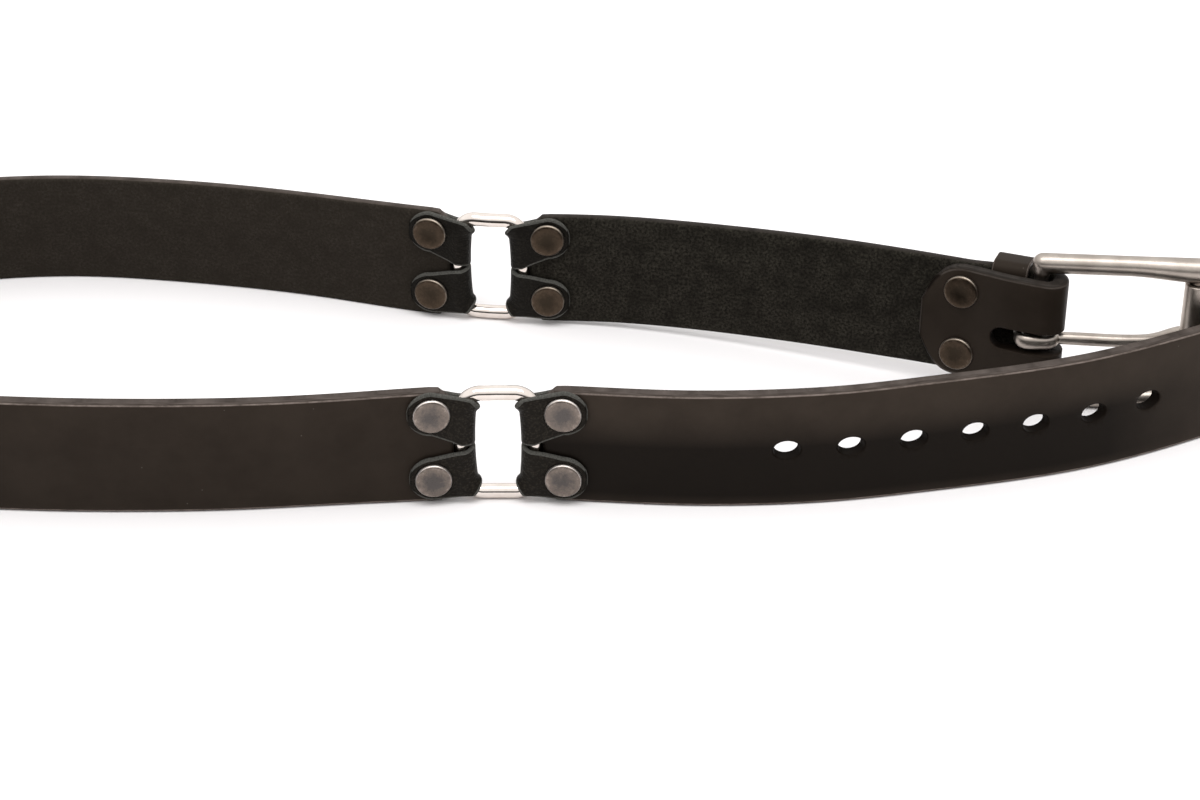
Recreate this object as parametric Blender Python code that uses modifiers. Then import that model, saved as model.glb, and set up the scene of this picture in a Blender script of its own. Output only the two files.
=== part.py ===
"""A leather belt with a roller buckle, standing on its edge in an open loop.

Three lengths of strap are joined by two oval rings. Each ring is held on each side by two
leather tabs, folded round the ring's wire and riveted through the end of the strap. The last
length folds round the heel bar of the buckle, is closed by two rivets, and carries a keeper.

Everything but the buckle is modelled on the flat, straight belt and then bent round the route
that the belt stands in. Flat-belt coordinates are x along the belt from the heel bar, y out of
the loop and z up from the bottom edge. Metres, +Z up, origin at the middle of the base.
"""

import math

import bmesh
import bpy
import numpy as np
from mathutils import Matrix

MM = 0.001
GAP = 0.3 * MM

STRAP_WIDTH = 38.0 * MM
STRAP_THICKNESS = 3.0 * MM
STRAP_EDGE_BEVEL = 0.8 * MM
STRAP_COLUMN = 8.4 * MM
STRAP_MIDDLE = STRAP_WIDTH / 2

HEEL_TO_BACK_RING = 182.9 * MM
RING_TO_RING = 589.0 * MM
FRONT_RING_TO_TIP = 298.4 * MM
BACK_RING_AT = HEEL_TO_BACK_RING
FRONT_RING_AT = BACK_RING_AT + RING_TO_RING
TIP_AT = FRONT_RING_AT + FRONT_RING_TO_TIP

RING_TO_STRAP = 13.1 * MM
CORNER_CUT_LONG = 3.2 * MM
CORNER_CUT_HIGH = 3.6 * MM
TIP_POINT_LENGTH = 30.0 * MM
TIP_BLUNT = 0.16
TIP_COLUMNS = (0.07, 0.2, 0.4, 0.7, 1.0)

HOLE_COUNT = 7
HOLE_PITCH = 19.0 * MM
FRONT_RING_TO_HOLE = 84.4 * MM
HOLE_LENGTH = 8.0 * MM
HOLE_HEIGHT = 5.6 * MM

RING_WIRE = 2.25 * MM
RING_HALF_WIDTH = 13.0 * MM - RING_WIRE
RING_HALF_HEIGHT = STRAP_MIDDLE - RING_WIRE
RING_CORNER = 6.0 * MM
RING_CORNER_STEPS = 6

TAB_THICKNESS = 1.8 * MM
TAB_BEND_GAP = 0.66 * MM
TAB_BEND = RING_WIRE + TAB_BEND_GAP + TAB_THICKNESS / 2
TAB_LAYER = STRAP_THICKNESS / 2 + GAP + TAB_THICKNESS / 2
TAB_INNER_EDGE = 0.7 * MM
TAB_CORNER_TURN = math.radians(60.0)
TAB_OUTER_EDGE = RING_HALF_HEIGHT - RING_CORNER * (1 - TAB_CORNER_TURN)
TAB_END_RADIUS = 7.3 * MM
TAB_RISE_FROM = 0.62
TAB_ROWS = 4

RIVET_TO_RING = 19.3 * MM
RIVET_HEIGHT = 11.1 * MM
RIVETS_MIDDLE = STRAP_MIDDLE + 0.9 * MM
RIVET_CAP = 5.5 * MM
RIVET_DOME = 1.2 * MM
RIVET_DISH = 1.0 * MM
RIVET_EDGE = 0.5 * MM
RIVET_RIM = 0.78 * RIVET_CAP
RIVET_SIDES = 12
RIVET_POST = 1.8 * MM
RIVET_HOLE = RIVET_POST + GAP
RIVET_HOLE_SIDES = 12

HEEL_BAR = 2.2 * MM
HEEL_SLACK = 2.6 * MM
LAYER_STEP = STRAP_THICKNESS + GAP
FOLD_BEND = HEEL_BAR + GAP + STRAP_THICKNESS / 2
FOLD_REACH = 27.0 * MM
FOLD_CLOSING = 1.5
FOLD_ARC = math.pi * FOLD_BEND
FOLD_COLUMNS = 12
REACH_COLUMNS = 6
BAR_OUT = -LAYER_STEP / 2
FLAP_LENGTH = 39.4 * MM
FLAP_CUT_LONG = 8.0 * MM
FLAP_CUT_HIGH = 4.2 * MM
FLAP_RIVET_AT = 26.4 * MM
FLAP_RIVET_HEIGHT = 10.9 * MM
FLAP_RIVET_GAP = 0.66 * MM
LIFT_AT_HEEL = 7.5 * MM

SLOT_REACH = 15.8 * MM
SLOT_HEIGHT = 7.0 * MM
SLOT_MIDDLE = 16.9 * MM

KEEPER_FROM = 7.6 * MM
KEEPER_WIDTH = 10.8 * MM
KEEPER_THICKNESS = 1.6 * MM
KEEPER_ABOVE = 1.9 * MM
KEEPER_PASSAGE = 3.3 * MM
KEEPER_CORNER = 3.2 * MM
KEEPER_SMALL_CORNER = 1.2 * MM
KEEPER_END = 7.2 * MM

BUCKLE_YAW = math.radians(-4.4)
BUCKLE_HEIGHT = 53.0 * MM
BUCKLE_LENGTH = 47.4 * MM
RAIL_AT_HEEL = 3.15 * MM
RAIL_AT_ROLLER = 3.9 * MM
RAIL_FLARE_FROM = 26.0 * MM
RAIL_SHARES = (0.0, 0.3, 0.56, 0.68, 0.79, 0.9, 1.0)
RAIL_BALL_ANGLES = (75.0, 50.0, 25.0)
BAR_SIDES = 14
END_BAR = 2.5 * MM
ROLLER_OUTSIDE = 4.0 * MM
ROLLER_INSIDE = 2.9 * MM
ROLLER_CHAMFER = 0.35 * MM
ROLLER_SIDES = 20
PRONG_HEIGHT = 24.3 * MM
PRONG_EYE_OUTSIDE = 6.4 * MM
PRONG_EYE_INSIDE = HEEL_BAR + GAP
PRONG_EYE_HEIGHT = 5.0 * MM
PRONG_EYE_ROUND = 1.1 * MM
PRONG_EYE_SIDES = 16
WELD = 0.01 * MM

# The heel bar's wire from its lower end to its upper one, mm: height and radius.
HEEL_BAR_LINE = (
    (3.15, 3.0),
    (5.4, 2.8),
    (7.1, 2.2),
    (45.9, 2.2),
    (47.6, 2.8),
    (49.85, 3.0),
)

# The prong's wire, mm: distance from the heel bar, place out of the loop, radius.
PRONG_LINE = (
    (4.6, -0.8, 1.9),
    (9.0, -0.8, 2.0),
    (30.4, -0.8, 2.0),
    (34.6, 0.0, 2.0),
    (38.6, 2.0, 2.0),
    (42.4, 4.6, 2.0),
    (45.8, 6.3, 1.85),
    (49.9, 6.1, 1.55),
    (51.5, 5.9, 1.0),
)

# The route of the strap's middle layer from the heel bar round the loop to the tip:
# x and y in plan, mm, and how far the top edge leans out of the loop, degrees.
ROUTE = (
    (158.8, -11.8, 0.0),
    (129.0, 1.2, 1.2),
    (99.2, 13.8, 1.8),
    (74.0, 23.2, 1.4),
    (48.2, 31.5, 0.8),
    (22.0, 37.6, 1.0),
    (-14.8, 42.0, 1.6),
    (-44.5, 49.0, 0.8),
    (-71.8, 57.4, -1.1),
    (-99.5, 64.1, -1.4),
    (-127.3, 69.0, -2.0),
    (-155.0, 71.8, -2.8),
    (-182.1, 70.0, -2.4),
    (-214.0, 61.7, -1.4),
    (-245.0, 43.5, -0.5),
    (-265.3, 17.0, 0.0),
    (-269.6, -12.0, 0.0),
    (-254.5, -40.5, 0.0),
    (-223.5, -59.5, 0.2),
    (-187.0, -68.0, 0.4),
    (-155.1, -71.4, 0.5),
    (-131.4, -72.5, 0.9),
    (-107.9, -72.5, 1.5),
    (-84.6, -71.5, 2.2),
    (-61.2, -69.4, 2.6),
    (-37.7, -67.4, 1.0),
    (-8.8, -65.9, -0.8),
    (21.6, -67.5, -0.6),
    (45.2, -69.2, -0.6),
    (68.8, -69.0, -0.9),
    (92.5, -66.7, -1.1),
    (116.4, -62.1, -1.8),
    (165.9, -49.5, -3.0),
    (191.9, -38.3, -3.6),
    (218.0, -24.0, -3.0),
    (243.0, -9.0, -2.0),
    (268.0, 4.5, -1.0),
)

# What centres the whole belt over the origin, mm.
ROUTE_SHIFT = (-0.83, 0.86)

LEATHER_OUTER = ("strap_leather", (0.028, 0.023, 0.021), 0.45, 0.0)
LEATHER_TAB = ("tab_leather", (0.020, 0.021, 0.020), 0.60, 0.0)
RIVET_METAL = ("aged_rivet", (0.24, 0.20, 0.17), 0.34, 1.0)
RING_METAL = ("polished_nickel", (0.80, 0.77, 0.74), 0.12, 1.0)
BUCKLE_METAL = ("satin_nickel", (0.42, 0.38, 0.35), 0.32, 1.0)


def start_scene():
    """An empty scene, with a collection for the belt and one for its cutters."""
    for thing in list(bpy.data.objects):
        bpy.data.objects.remove(thing, do_unlink=True)
    parts = bpy.data.collections.new("roller_buckle_belt")
    cutters = bpy.data.collections.new("cutters")
    cutters.hide_render = True
    for collection in (parts, cutters):
        bpy.context.scene.collection.children.link(collection)
    return parts, cutters


def material(finish):
    """The material of a finish, made once."""
    name, colour, roughness, metallic = finish
    found = bpy.data.materials.get(name)
    if found:
        return found
    made = bpy.data.materials.new(name)
    made.use_nodes = True
    shader = made.node_tree.nodes["Principled BSDF"]
    shader.inputs["Base Color"].default_value = (*colour, 1.0)
    shader.inputs["Roughness"].default_value = roughness
    shader.inputs["Metallic"].default_value = metallic
    return made


def smoothstep(t):
    t = np.clip(t, 0.0, 1.0)
    return t * t * (3 - 2 * t)


def natural_spline(knots, values, at):
    """The natural cubic spline through values at knots, read at the given places."""
    steps = np.diff(knots)
    slopes = np.diff(values, axis=0) / steps[:, None]
    system = np.eye(len(knots))
    turn = np.zeros_like(values)
    for i in range(1, len(knots) - 1):
        system[i, i - 1 : i + 2] = (steps[i - 1], 2 * (steps[i - 1] + steps[i]), steps[i])
        turn[i] = 6 * (slopes[i] - slopes[i - 1])
    bends = np.linalg.solve(system, turn)
    span = np.clip(np.searchsorted(knots, at, side="right") - 1, 0, len(steps) - 1)
    step = steps[span]
    after = (at - knots[span]) / step
    before = 1 - after
    straight = before[:, None] * values[span] + after[:, None] * values[span + 1]
    bow_before = ((before**3 - before) * step**2 / 6)[:, None] * bends[span]
    bow_after = ((after**3 - after) * step**2 / 6)[:, None] * bends[span + 1]
    return straight + bow_before + bow_after


class Route:
    """The way that the belt stands: flat-belt points in, world points out."""

    def __init__(self, table, samples=1400):
        rows = np.array(table)
        plan = (rows[:, :2] + np.array(ROUTE_SHIFT)) * MM
        lean = np.radians(rows[:, 2])
        chords = np.hypot(*np.diff(plan, axis=0).T)
        knots = np.concatenate([[0.0], np.cumsum(chords)])
        at = np.linspace(0.0, knots[-1], samples)
        smooth = natural_spline(knots, np.column_stack([plan, lean]), at)
        self.plan = smooth[:, :2]
        self.lean = smooth[:, 2]
        steps = np.hypot(*np.diff(self.plan, axis=0).T)
        self.along = np.concatenate([[0.0], np.cumsum(steps)])
        tangent = np.gradient(self.plan, axis=0)
        self.tangent = tangent / np.linalg.norm(tangent, axis=1)[:, None]

    def read(self, values, along):
        """A sampled quantity at the given lengths along the belt."""
        return np.interp(along, self.along, values)

    def bend(self, points):
        """World points for flat-belt points, one row each."""
        along, out, up = points.T
        inside = np.clip(along, 0.0, self.along[-1])
        beyond = along - inside
        tangent = np.column_stack([self.read(self.tangent[:, i], inside) for i in (0, 1)])
        tangent /= np.linalg.norm(tangent, axis=1)[:, None]
        outward = np.column_stack([tangent[:, 1], -tangent[:, 0]])
        plan = np.column_stack([self.read(self.plan[:, i], inside) for i in (0, 1)])
        shift = out + np.tan(self.read(self.lean, inside)) * up
        plan = plan + tangent * beyond[:, None] + outward * shift[:, None]
        lift = LIFT_AT_HEEL * np.clip(1 - along / BACK_RING_AT, 0.0, 1.0)
        lift = np.minimum(lift, LIFT_AT_HEEL)
        return np.column_stack([plan, lift + up])


def fold_spread(along):
    """How far each layer stands off its closed place between the rivets and the heel bar."""
    share = np.clip(along / FOLD_REACH, 0.0, 1.0) ** FOLD_CLOSING
    return (FOLD_BEND - LAYER_STEP / 2) * (1 - smoothstep(share))


def fold(points):
    """Flat-belt points of the buckle strap, with its flap folded back round the heel bar."""
    along, out, up = points.T
    angle = np.clip(-along / FOLD_BEND, 0.0, math.pi)
    on_flap = along < -FOLD_ARC
    back = -(along + FOLD_ARC)
    bar_along = np.where(along > 0, along, -(FOLD_BEND + out) * np.sin(angle))
    bar_out = BAR_OUT + (FOLD_BEND + out) * np.cos(angle)
    bar_out = np.where(along > 0, fold_spread(along) + out, bar_out)
    new_along = np.where(on_flap, back, bar_along)
    new_out = np.where(on_flap, -LAYER_STEP - fold_spread(back) - out, bar_out)
    return np.column_stack([new_along, new_out, up])


def new_object(name, mesh, collection):
    made = bpy.data.objects.new(name, mesh)
    collection.objects.link(made)
    return made


def baked(thing):
    """A fresh mesh of the object with its modifiers, in the object's own space."""
    graph = bpy.context.evaluated_depsgraph_get()
    graph.update()
    return bpy.data.meshes.new_from_object(thing.evaluated_get(graph))


def drop(thing):
    data = thing.data
    bpy.data.objects.remove(thing, do_unlink=True)
    if isinstance(data, bpy.types.Curve):
        bpy.data.curves.remove(data)
    elif data.users == 0:
        bpy.data.meshes.remove(data)


def face_outward(mesh):
    """Turns the faces round if they point in, as after a move that mirrors."""
    shape = bmesh.new()
    shape.from_mesh(mesh)
    inside_out = shape.calc_volume(signed=True) < 0
    shape.free()
    if inside_out:
        mesh.flip_normals()


def settle(flat, collection, finish, moves, sharp=35.0):
    """Replaces the flat object by its finished mesh, moved by each of the moves in turn."""
    name = flat.name
    mesh = baked(flat)
    drop(flat)
    points = np.empty(len(mesh.vertices) * 3)
    mesh.vertices.foreach_get("co", points)
    points = points.reshape(-1, 3)
    for move in moves:
        points = move(points)
    mesh.vertices.foreach_set("co", points.ravel())
    face_outward(mesh)
    mesh.name = name
    mesh.materials.clear()
    mesh.materials.append(material(finish))
    mesh.shade_smooth()
    mesh.set_sharp_from_angle(angle=math.radians(sharp))
    mesh.update()
    return new_object(name, mesh, collection)


def add_boolean(target, cutter, operation="DIFFERENCE"):
    modifier = target.modifiers.new(cutter.name, "BOOLEAN")
    modifier.operation = operation
    modifier.solver = "EXACT"
    modifier.object = cutter


def as_cutter(thing):
    """Shows a helper object as one, and updates its place for the Booleans."""
    thing.hide_render = True
    thing.display_type = "WIRE"
    bpy.context.view_layer.update()


def join(target, other):
    as_cutter(other)
    add_boolean(target, other, "UNION")


def oblong_cutter(name, centre, length, height, depth, collection, sides=16):
    """A prism across the belt with an oblong section, or a round one where length is height."""
    shape = bmesh.new()
    turn = Matrix.Rotation(math.pi / 2, 4, "X") @ Matrix.Rotation(math.pi / sides, 4, "Z")
    bmesh.ops.create_cone(
        shape,
        cap_ends=True,
        segments=sides,
        radius1=height / 2,
        radius2=height / 2,
        depth=depth,
        matrix=turn,
    )
    stretch = (length - height) / 2
    for vertex in shape.verts:
        vertex.co.x += math.copysign(stretch, vertex.co.x)
    mesh = bpy.data.meshes.new(name)
    shape.to_mesh(mesh)
    shape.free()
    cutter = new_object(name, mesh, collection)
    cutter.location = centre
    as_cutter(cutter)
    return cutter


def grid_object(name, columns, rows, place, collection):
    """A grid of columns by rows faces, each corner placed by place(column, row)."""
    shape = bmesh.new()
    bmesh.ops.create_grid(shape, x_segments=columns, y_segments=rows, size=1.0)
    for vertex in shape.verts:
        column = round((vertex.co.x + 1) / 2 * columns)
        row = round((vertex.co.y + 1) / 2 * rows)
        vertex.co = place(column, row)
    bmesh.ops.recalc_face_normals(shape, faces=shape.faces)
    mesh = bpy.data.meshes.new(name)
    shape.to_mesh(mesh)
    shape.free()
    return new_object(name, mesh, collection)


def thicken(thing, thickness):
    wall = thing.modifiers.new("wall", "SOLIDIFY")
    wall.thickness = thickness
    wall.offset = 0.0
    wall.use_even_offset = True


def soften(thing, width, limit=60.0):
    edge = thing.modifiers.new("edge", "BEVEL")
    edge.width = width
    edge.segments = 1
    edge.limit_method = "ANGLE"
    edge.angle_limit = math.radians(limit)


def strap_columns(start, end, extra=()):
    """Column places from start to end, about STRAP_COLUMN apart, with the extra places kept."""
    fixed = sorted({start, end, *extra})
    places = [fixed[0]]
    for low, high in zip(fixed, fixed[1:]):
        count = max(1, round((high - low) / STRAP_COLUMN))
        places += [low + (high - low) * i / count for i in range(1, count + 1)]
    return places


def flat_strap(name, places, half_width, collection):
    """A strap blank on its edge, with the half width that half_width(x) gives."""

    def place(column, row):
        x = places[column]
        return (x, 0.0, STRAP_MIDDLE + (2 * row - 1) * half_width(x))

    strap = grid_object(name, len(places) - 1, 1, place, collection)
    thicken(strap, STRAP_THICKNESS)
    soften(strap, STRAP_EDGE_BEVEL)
    return strap


def cut_corner(distance, long, high):
    """Half width of a strap at a distance from an end whose corners are cut off."""
    return STRAP_MIDDLE - high * max(0.0, 1 - distance / long)


def ring_rivet_centre(ring_at, side, level):
    """Flat-belt middle of the rivet on one side of a ring, above or below."""
    return (ring_at + side * RIVET_TO_RING, 0.0, RIVETS_MIDDLE + level * RIVET_HEIGHT)


def rivet_hole(name, centre, depth, collection):
    size = 2 * RIVET_HOLE
    return oblong_cutter(name, centre, size, size, depth, collection, sides=RIVET_HOLE_SIDES)


def strap_end_holes(strap, ring_at, side, collection):
    """The two rivet holes of a strap end beside a ring."""
    for level, word in ((1, "upper"), (-1, "lower")):
        name = f"cut_{strap.name}_{'after' if side > 0 else 'before'}_{word}"
        centre = ring_rivet_centre(ring_at, side, level)
        add_boolean(strap, rivet_hole(name, centre, 2 * STRAP_THICKNESS, collection))


def tip_half_width(distance):
    """Half width near the pointed tip, at a distance from it."""
    share = min(1.0, distance / TIP_POINT_LENGTH)
    curve = math.sqrt(1 - (1 - share) ** 2)
    return STRAP_MIDDLE * (TIP_BLUNT + (1 - TIP_BLUNT) * curve)


def make_billet_strap(route, parts, cutters):
    start = FRONT_RING_AT + RING_TO_STRAP
    point = [TIP_AT - TIP_POINT_LENGTH * share for share in TIP_COLUMNS]
    places = strap_columns(start, TIP_AT, (start + CORNER_CUT_LONG, *point))

    def half_width(x):
        cut = cut_corner(x - start, CORNER_CUT_LONG, CORNER_CUT_HIGH)
        return min(cut, tip_half_width(TIP_AT - x))

    strap = flat_strap("billet_strap", places, half_width, parts)
    strap_end_holes(strap, FRONT_RING_AT, 1, cutters)
    for i in range(HOLE_COUNT):
        x = FRONT_RING_AT + FRONT_RING_TO_HOLE + i * HOLE_PITCH
        hole = oblong_cutter(
            f"cut_prong_hole_{i + 1}",
            (x, 0.0, STRAP_MIDDLE),
            HOLE_LENGTH,
            HOLE_HEIGHT,
            2 * STRAP_THICKNESS,
            cutters,
        )
        add_boolean(strap, hole)
    return settle(strap, parts, LEATHER_OUTER, [route.bend])


def make_back_strap(route, parts, cutters):
    start = BACK_RING_AT + RING_TO_STRAP
    end = FRONT_RING_AT - RING_TO_STRAP
    places = strap_columns(start, end, (start + CORNER_CUT_LONG, end - CORNER_CUT_LONG))

    def half_width(x):
        return cut_corner(min(x - start, end - x), CORNER_CUT_LONG, CORNER_CUT_HIGH)

    strap = flat_strap("back_strap", places, half_width, parts)
    strap_end_holes(strap, BACK_RING_AT, 1, cutters)
    strap_end_holes(strap, FRONT_RING_AT, -1, cutters)
    return settle(strap, parts, LEATHER_OUTER, [route.bend])


def make_buckle_strap(route, parts, cutters):
    flap_end = -(FOLD_ARC + FLAP_LENGTH)
    end = BACK_RING_AT - RING_TO_STRAP
    arc = [-FOLD_ARC * i / FOLD_COLUMNS for i in range(FOLD_COLUMNS + 1)]
    spread = [FOLD_REACH * i / REACH_COLUMNS for i in range(1, REACH_COLUMNS + 1)]
    flap_spread = [-(FOLD_ARC + x) for x in spread]
    keep = (flap_end + FLAP_CUT_LONG, end - CORNER_CUT_LONG, *arc, *spread, *flap_spread)
    places = strap_columns(flap_end, end, keep)

    def half_width(x):
        flap = cut_corner(x - flap_end, FLAP_CUT_LONG, FLAP_CUT_HIGH)
        return min(flap, cut_corner(end - x, CORNER_CUT_LONG, CORNER_CUT_HIGH))

    strap = flat_strap("buckle_strap", places, half_width, parts)
    strap_end_holes(strap, BACK_RING_AT, -1, cutters)
    slot = oblong_cutter(
        "cut_prong_slot",
        (-FOLD_ARC / 2, 0.0, SLOT_MIDDLE),
        FOLD_ARC + 2 * SLOT_REACH,
        SLOT_HEIGHT,
        2 * STRAP_THICKNESS,
        cutters,
    )
    add_boolean(strap, slot)
    for level, word in ((1, "upper"), (-1, "lower")):
        for x, layer in ((FLAP_RIVET_AT, "base"), (-FOLD_ARC - FLAP_RIVET_AT, "flap")):
            name = f"cut_{layer}_rivet_{word}"
            centre = (x, 0.0, STRAP_MIDDLE + level * FLAP_RIVET_HEIGHT)
            add_boolean(strap, rivet_hole(name, centre, 2 * STRAP_THICKNESS, cutters))
    return settle(strap, parts, LEATHER_OUTER, [fold, route.bend])


def ring_outline():
    """Centreline of a ring's wire: a rounded rectangle about its middle, as (along, up)."""
    points = []
    for quarter in range(4):
        side = 1 if quarter in (0, 3) else -1
        level = 1 if quarter < 2 else -1
        middle = (
            side * (RING_HALF_WIDTH - RING_CORNER),
            level * (RING_HALF_HEIGHT - RING_CORNER),
        )
        for i in range(RING_CORNER_STEPS + 1):
            angle = math.pi / 2 * (quarter + i / RING_CORNER_STEPS)
            points.append(
                (
                    middle[0] + RING_CORNER * math.cos(angle),
                    middle[1] + RING_CORNER * math.sin(angle),
                )
            )
    return points


def poly_curve(name, points, radii, collection, cyclic=False, resolution=2):
    """A round tube along straight steps between the points, with a radius at each."""
    data = bpy.data.curves.new(name, "CURVE")
    data.dimensions = "3D"
    data.bevel_depth = 1.0
    data.bevel_resolution = resolution
    data.use_fill_caps = not cyclic
    spline = data.splines.new("POLY")
    spline.points.add(len(points) - 1)
    spline.use_cyclic_u = cyclic
    for control, point, radius in zip(spline.points, points, radii):
        control.co = (*point, 1.0)
        control.radius = radius
    return new_object(name, data, collection)


def tube_mesh_object(name, points, radii, collection, cyclic=False, resolution=2):
    """The same tube as a welded mesh object, ready to be cut or joined."""
    curve = poly_curve(name + "_line", points, radii, collection, cyclic, resolution)
    mesh = baked(curve)
    drop(curve)
    shape = bmesh.new()
    shape.from_mesh(mesh)
    bmesh.ops.remove_doubles(shape, verts=shape.verts, dist=WELD)
    bmesh.ops.recalc_face_normals(shape, faces=shape.faces)
    shape.to_mesh(mesh)
    shape.free()
    return new_object(name, mesh, collection)


def make_ring(name, ring_at, route, parts):
    points = [(ring_at + along, 0.0, STRAP_MIDDLE + up) for along, up in ring_outline()]
    ring = tube_mesh_object(name, points, [RING_WIRE] * len(points), parts, cyclic=True, resolution=3)
    return settle(ring, parts, RING_METAL, [route.bend], sharp=60.0)


def ring_wire(way):
    """A ring's wire at a way up its side: distance along, height and how far it has turned."""
    side = RING_HALF_HEIGHT - RING_CORNER
    turn = max(0.0, way - side) / RING_CORNER
    along = RING_HALF_WIDTH - RING_CORNER * (1 - math.cos(turn))
    return along, min(way, side) + RING_CORNER * math.sin(turn), turn


def tab_section(rivet_up, up_share, station):
    """One point of a tab's middle surface, as (distance from the ring's middle, out, up).

    rivet_up is the height of the tab's rivet from the ring's middle.
    station is (kind, value, face): "end" with an angle round the rivet, "span" with a share of
    the way from the rivet to the wire, "bend" with an angle round the wire; face is 1 out of
    the loop. up_share runs from -1 at the edge by the ring's middle to 1 at the outer edge.
    """
    kind, value, face = station
    if kind == "end":
        up = rivet_up + up_share * TAB_END_RADIUS * math.sin(value)
        return RIVET_TO_RING + TAB_END_RADIUS * math.cos(value), face * TAB_LAYER, up
    way = TAB_INNER_EDGE + (TAB_OUTER_EDGE - TAB_INNER_EDGE) * (1 + up_share) / 2
    wire, wire_up, turn = ring_wire(way)
    if kind == "span":
        start_up = rivet_up + up_share * TAB_END_RADIUS
        rise = max(0.0, (value - TAB_RISE_FROM) / (1 - TAB_RISE_FROM))
        out = TAB_LAYER + (TAB_BEND - TAB_LAYER) * rise
        along = RIVET_TO_RING + (wire - RIVET_TO_RING) * value
        return along, face * out, start_up + (wire_up - start_up) * value
    reach = TAB_BEND * math.sin(value)
    out = TAB_BEND * math.cos(value)
    return wire - reach * math.cos(turn), out, wire_up - reach * math.sin(turn)


def tab_stations():
    """The stations of a tab, from its end on one face round the wire to its end on the other."""
    outer = [("end", math.radians(angle), 1) for angle in (12, 38, 64)]
    outer += [("span", share, 1) for share in (0.0, TAB_RISE_FROM)]
    wire = [("bend", math.pi * i / 6, 1) for i in range(7)]
    inner = [(kind, value, -1) for kind, value, _ in reversed(outer)]
    return outer + wire + inner


def make_tab(name, ring_at, side, level, route, parts, cutters):
    """A tab beside a ring: side is 1 after it along the belt, level is 1 above its middle."""
    stations = tab_stations()
    centre = ring_rivet_centre(ring_at, side, level)
    rivet_up = abs(centre[2] - STRAP_MIDDLE)

    def place(column, row):
        distance, out, up = tab_section(rivet_up, 2 * row / TAB_ROWS - 1, stations[column])
        return (ring_at + side * distance, out, STRAP_MIDDLE + level * up)

    tab = grid_object(name, len(stations) - 1, TAB_ROWS, place, parts)
    thicken(tab, TAB_THICKNESS)
    add_boolean(tab, rivet_hole(f"cut_{name}", centre, 6 * TAB_LAYER, cutters))
    return settle(tab, parts, LEATHER_TAB, [route.bend])


def turned_object(name, profile, steps, collection, closed=False):
    """A profile of (radius, height) rows turned about the upright axis."""
    mesh = bpy.data.meshes.new(name)
    count = len(profile)
    edges = [(i, i + 1) for i in range(count - 1)]
    if closed:
        edges.append((count - 1, 0))
    mesh.from_pydata([(radius, 0.0, height) for radius, height in profile], edges, [])
    turned = new_object(name, mesh, collection)
    screw = turned.modifiers.new("turn", "SCREW")
    screw.steps = steps
    screw.render_steps = steps
    screw.use_merge_vertices = True
    screw.merge_threshold = WELD
    return turned


def rivet_profile(cap_at):
    """A rivet with a cap on each face, its caps starting at cap_at from the middle."""
    upper = [
        (0.0, cap_at + RIVET_DISH),
        (RIVET_RIM, cap_at + RIVET_DOME),
        (RIVET_CAP, cap_at + RIVET_EDGE),
        (RIVET_CAP, cap_at),
        (RIVET_POST, cap_at),
    ]
    return upper + [(radius, -height) for radius, height in reversed(upper)]


def make_rivet(name, centre, cap_at, route, parts):
    """A rivet through the belt at a flat-belt point."""
    rivet = turned_object(name, rivet_profile(cap_at), RIVET_SIDES, parts)

    def lay_across(points):
        x, y, z = points.T
        return np.column_stack([x, z, -y]) + np.array(centre)

    return settle(rivet, parts, RIVET_METAL, [lay_across, route.bend])


def make_joint_pieces(word, ring_at, route, parts, cutters):
    """A ring with its four tabs and their rivets."""
    make_ring(f"ring_{word}", ring_at, route, parts)
    cap_at = TAB_LAYER + TAB_THICKNESS / 2 + GAP
    for side, side_word in ((1, "after"), (-1, "before")):
        for level, level_word in ((1, "upper"), (-1, "lower")):
            place = f"{word}_{side_word}_{level_word}"
            make_tab(f"tab_{place}", ring_at, side, level, route, parts, cutters)
            centre = ring_rivet_centre(ring_at, side, level)
            make_rivet(f"rivet_{place}", centre, cap_at, route, parts)


def make_flap_rivets(route, parts):
    cap_at = LAYER_STEP / 2 + STRAP_THICKNESS / 2 + FLAP_RIVET_GAP
    for level, word in ((1, "upper"), (-1, "lower")):
        centre = (FLAP_RIVET_AT, BAR_OUT, STRAP_MIDDLE + level * FLAP_RIVET_HEIGHT)
        make_rivet(f"rivet_flap_{word}", centre, cap_at, route, parts)


def quarter_turn(out, up, radius, start, steps):
    """Points of a quarter turn about (out, up), clockwise from a start angle in degrees."""
    angles = [math.radians(start - 90 * i / steps) for i in range(steps + 1)]
    return [(out + radius * math.cos(turn), up + radius * math.sin(turn)) for turn in angles]


def keeper_outline():
    """Middle line of the keeper's band across the belt, as (out, up), from end to end.

    Its two ends lie between the layers of the fold, above and below the prong.
    """
    half = KEEPER_THICKNESS / 2
    face = float(fold_spread(np.array([KEEPER_FROM]))[0]) + STRAP_THICKNESS / 2
    low = BAR_OUT
    high = face + KEEPER_PASSAGE + half
    top = STRAP_WIDTH + KEEPER_ABOVE - half
    bottom = half - KEEPER_ABOVE
    small = KEEPER_SMALL_CORNER
    wide = KEEPER_CORNER
    return [
        (low, SLOT_MIDDLE + KEEPER_END),
        *quarter_turn(low + small, top - small, small, 180, 3),
        *quarter_turn(high - wide, top - wide, wide, 90, 4),
        *quarter_turn(high - wide, bottom + wide, wide, 0, 4),
        *quarter_turn(low + small, bottom + small, small, -90, 3),
        (low, SLOT_MIDDLE - KEEPER_END),
    ]


def make_keeper(route, parts):
    outline = keeper_outline()

    def place(column, row):
        out, up = outline[column]
        return (KEEPER_FROM + row * KEEPER_WIDTH, out, up)

    keeper = grid_object("keeper_loop", len(outline) - 1, 1, place, parts)
    thicken(keeper, KEEPER_THICKNESS)
    return settle(keeper, parts, LEATHER_OUTER, [route.bend])


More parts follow.
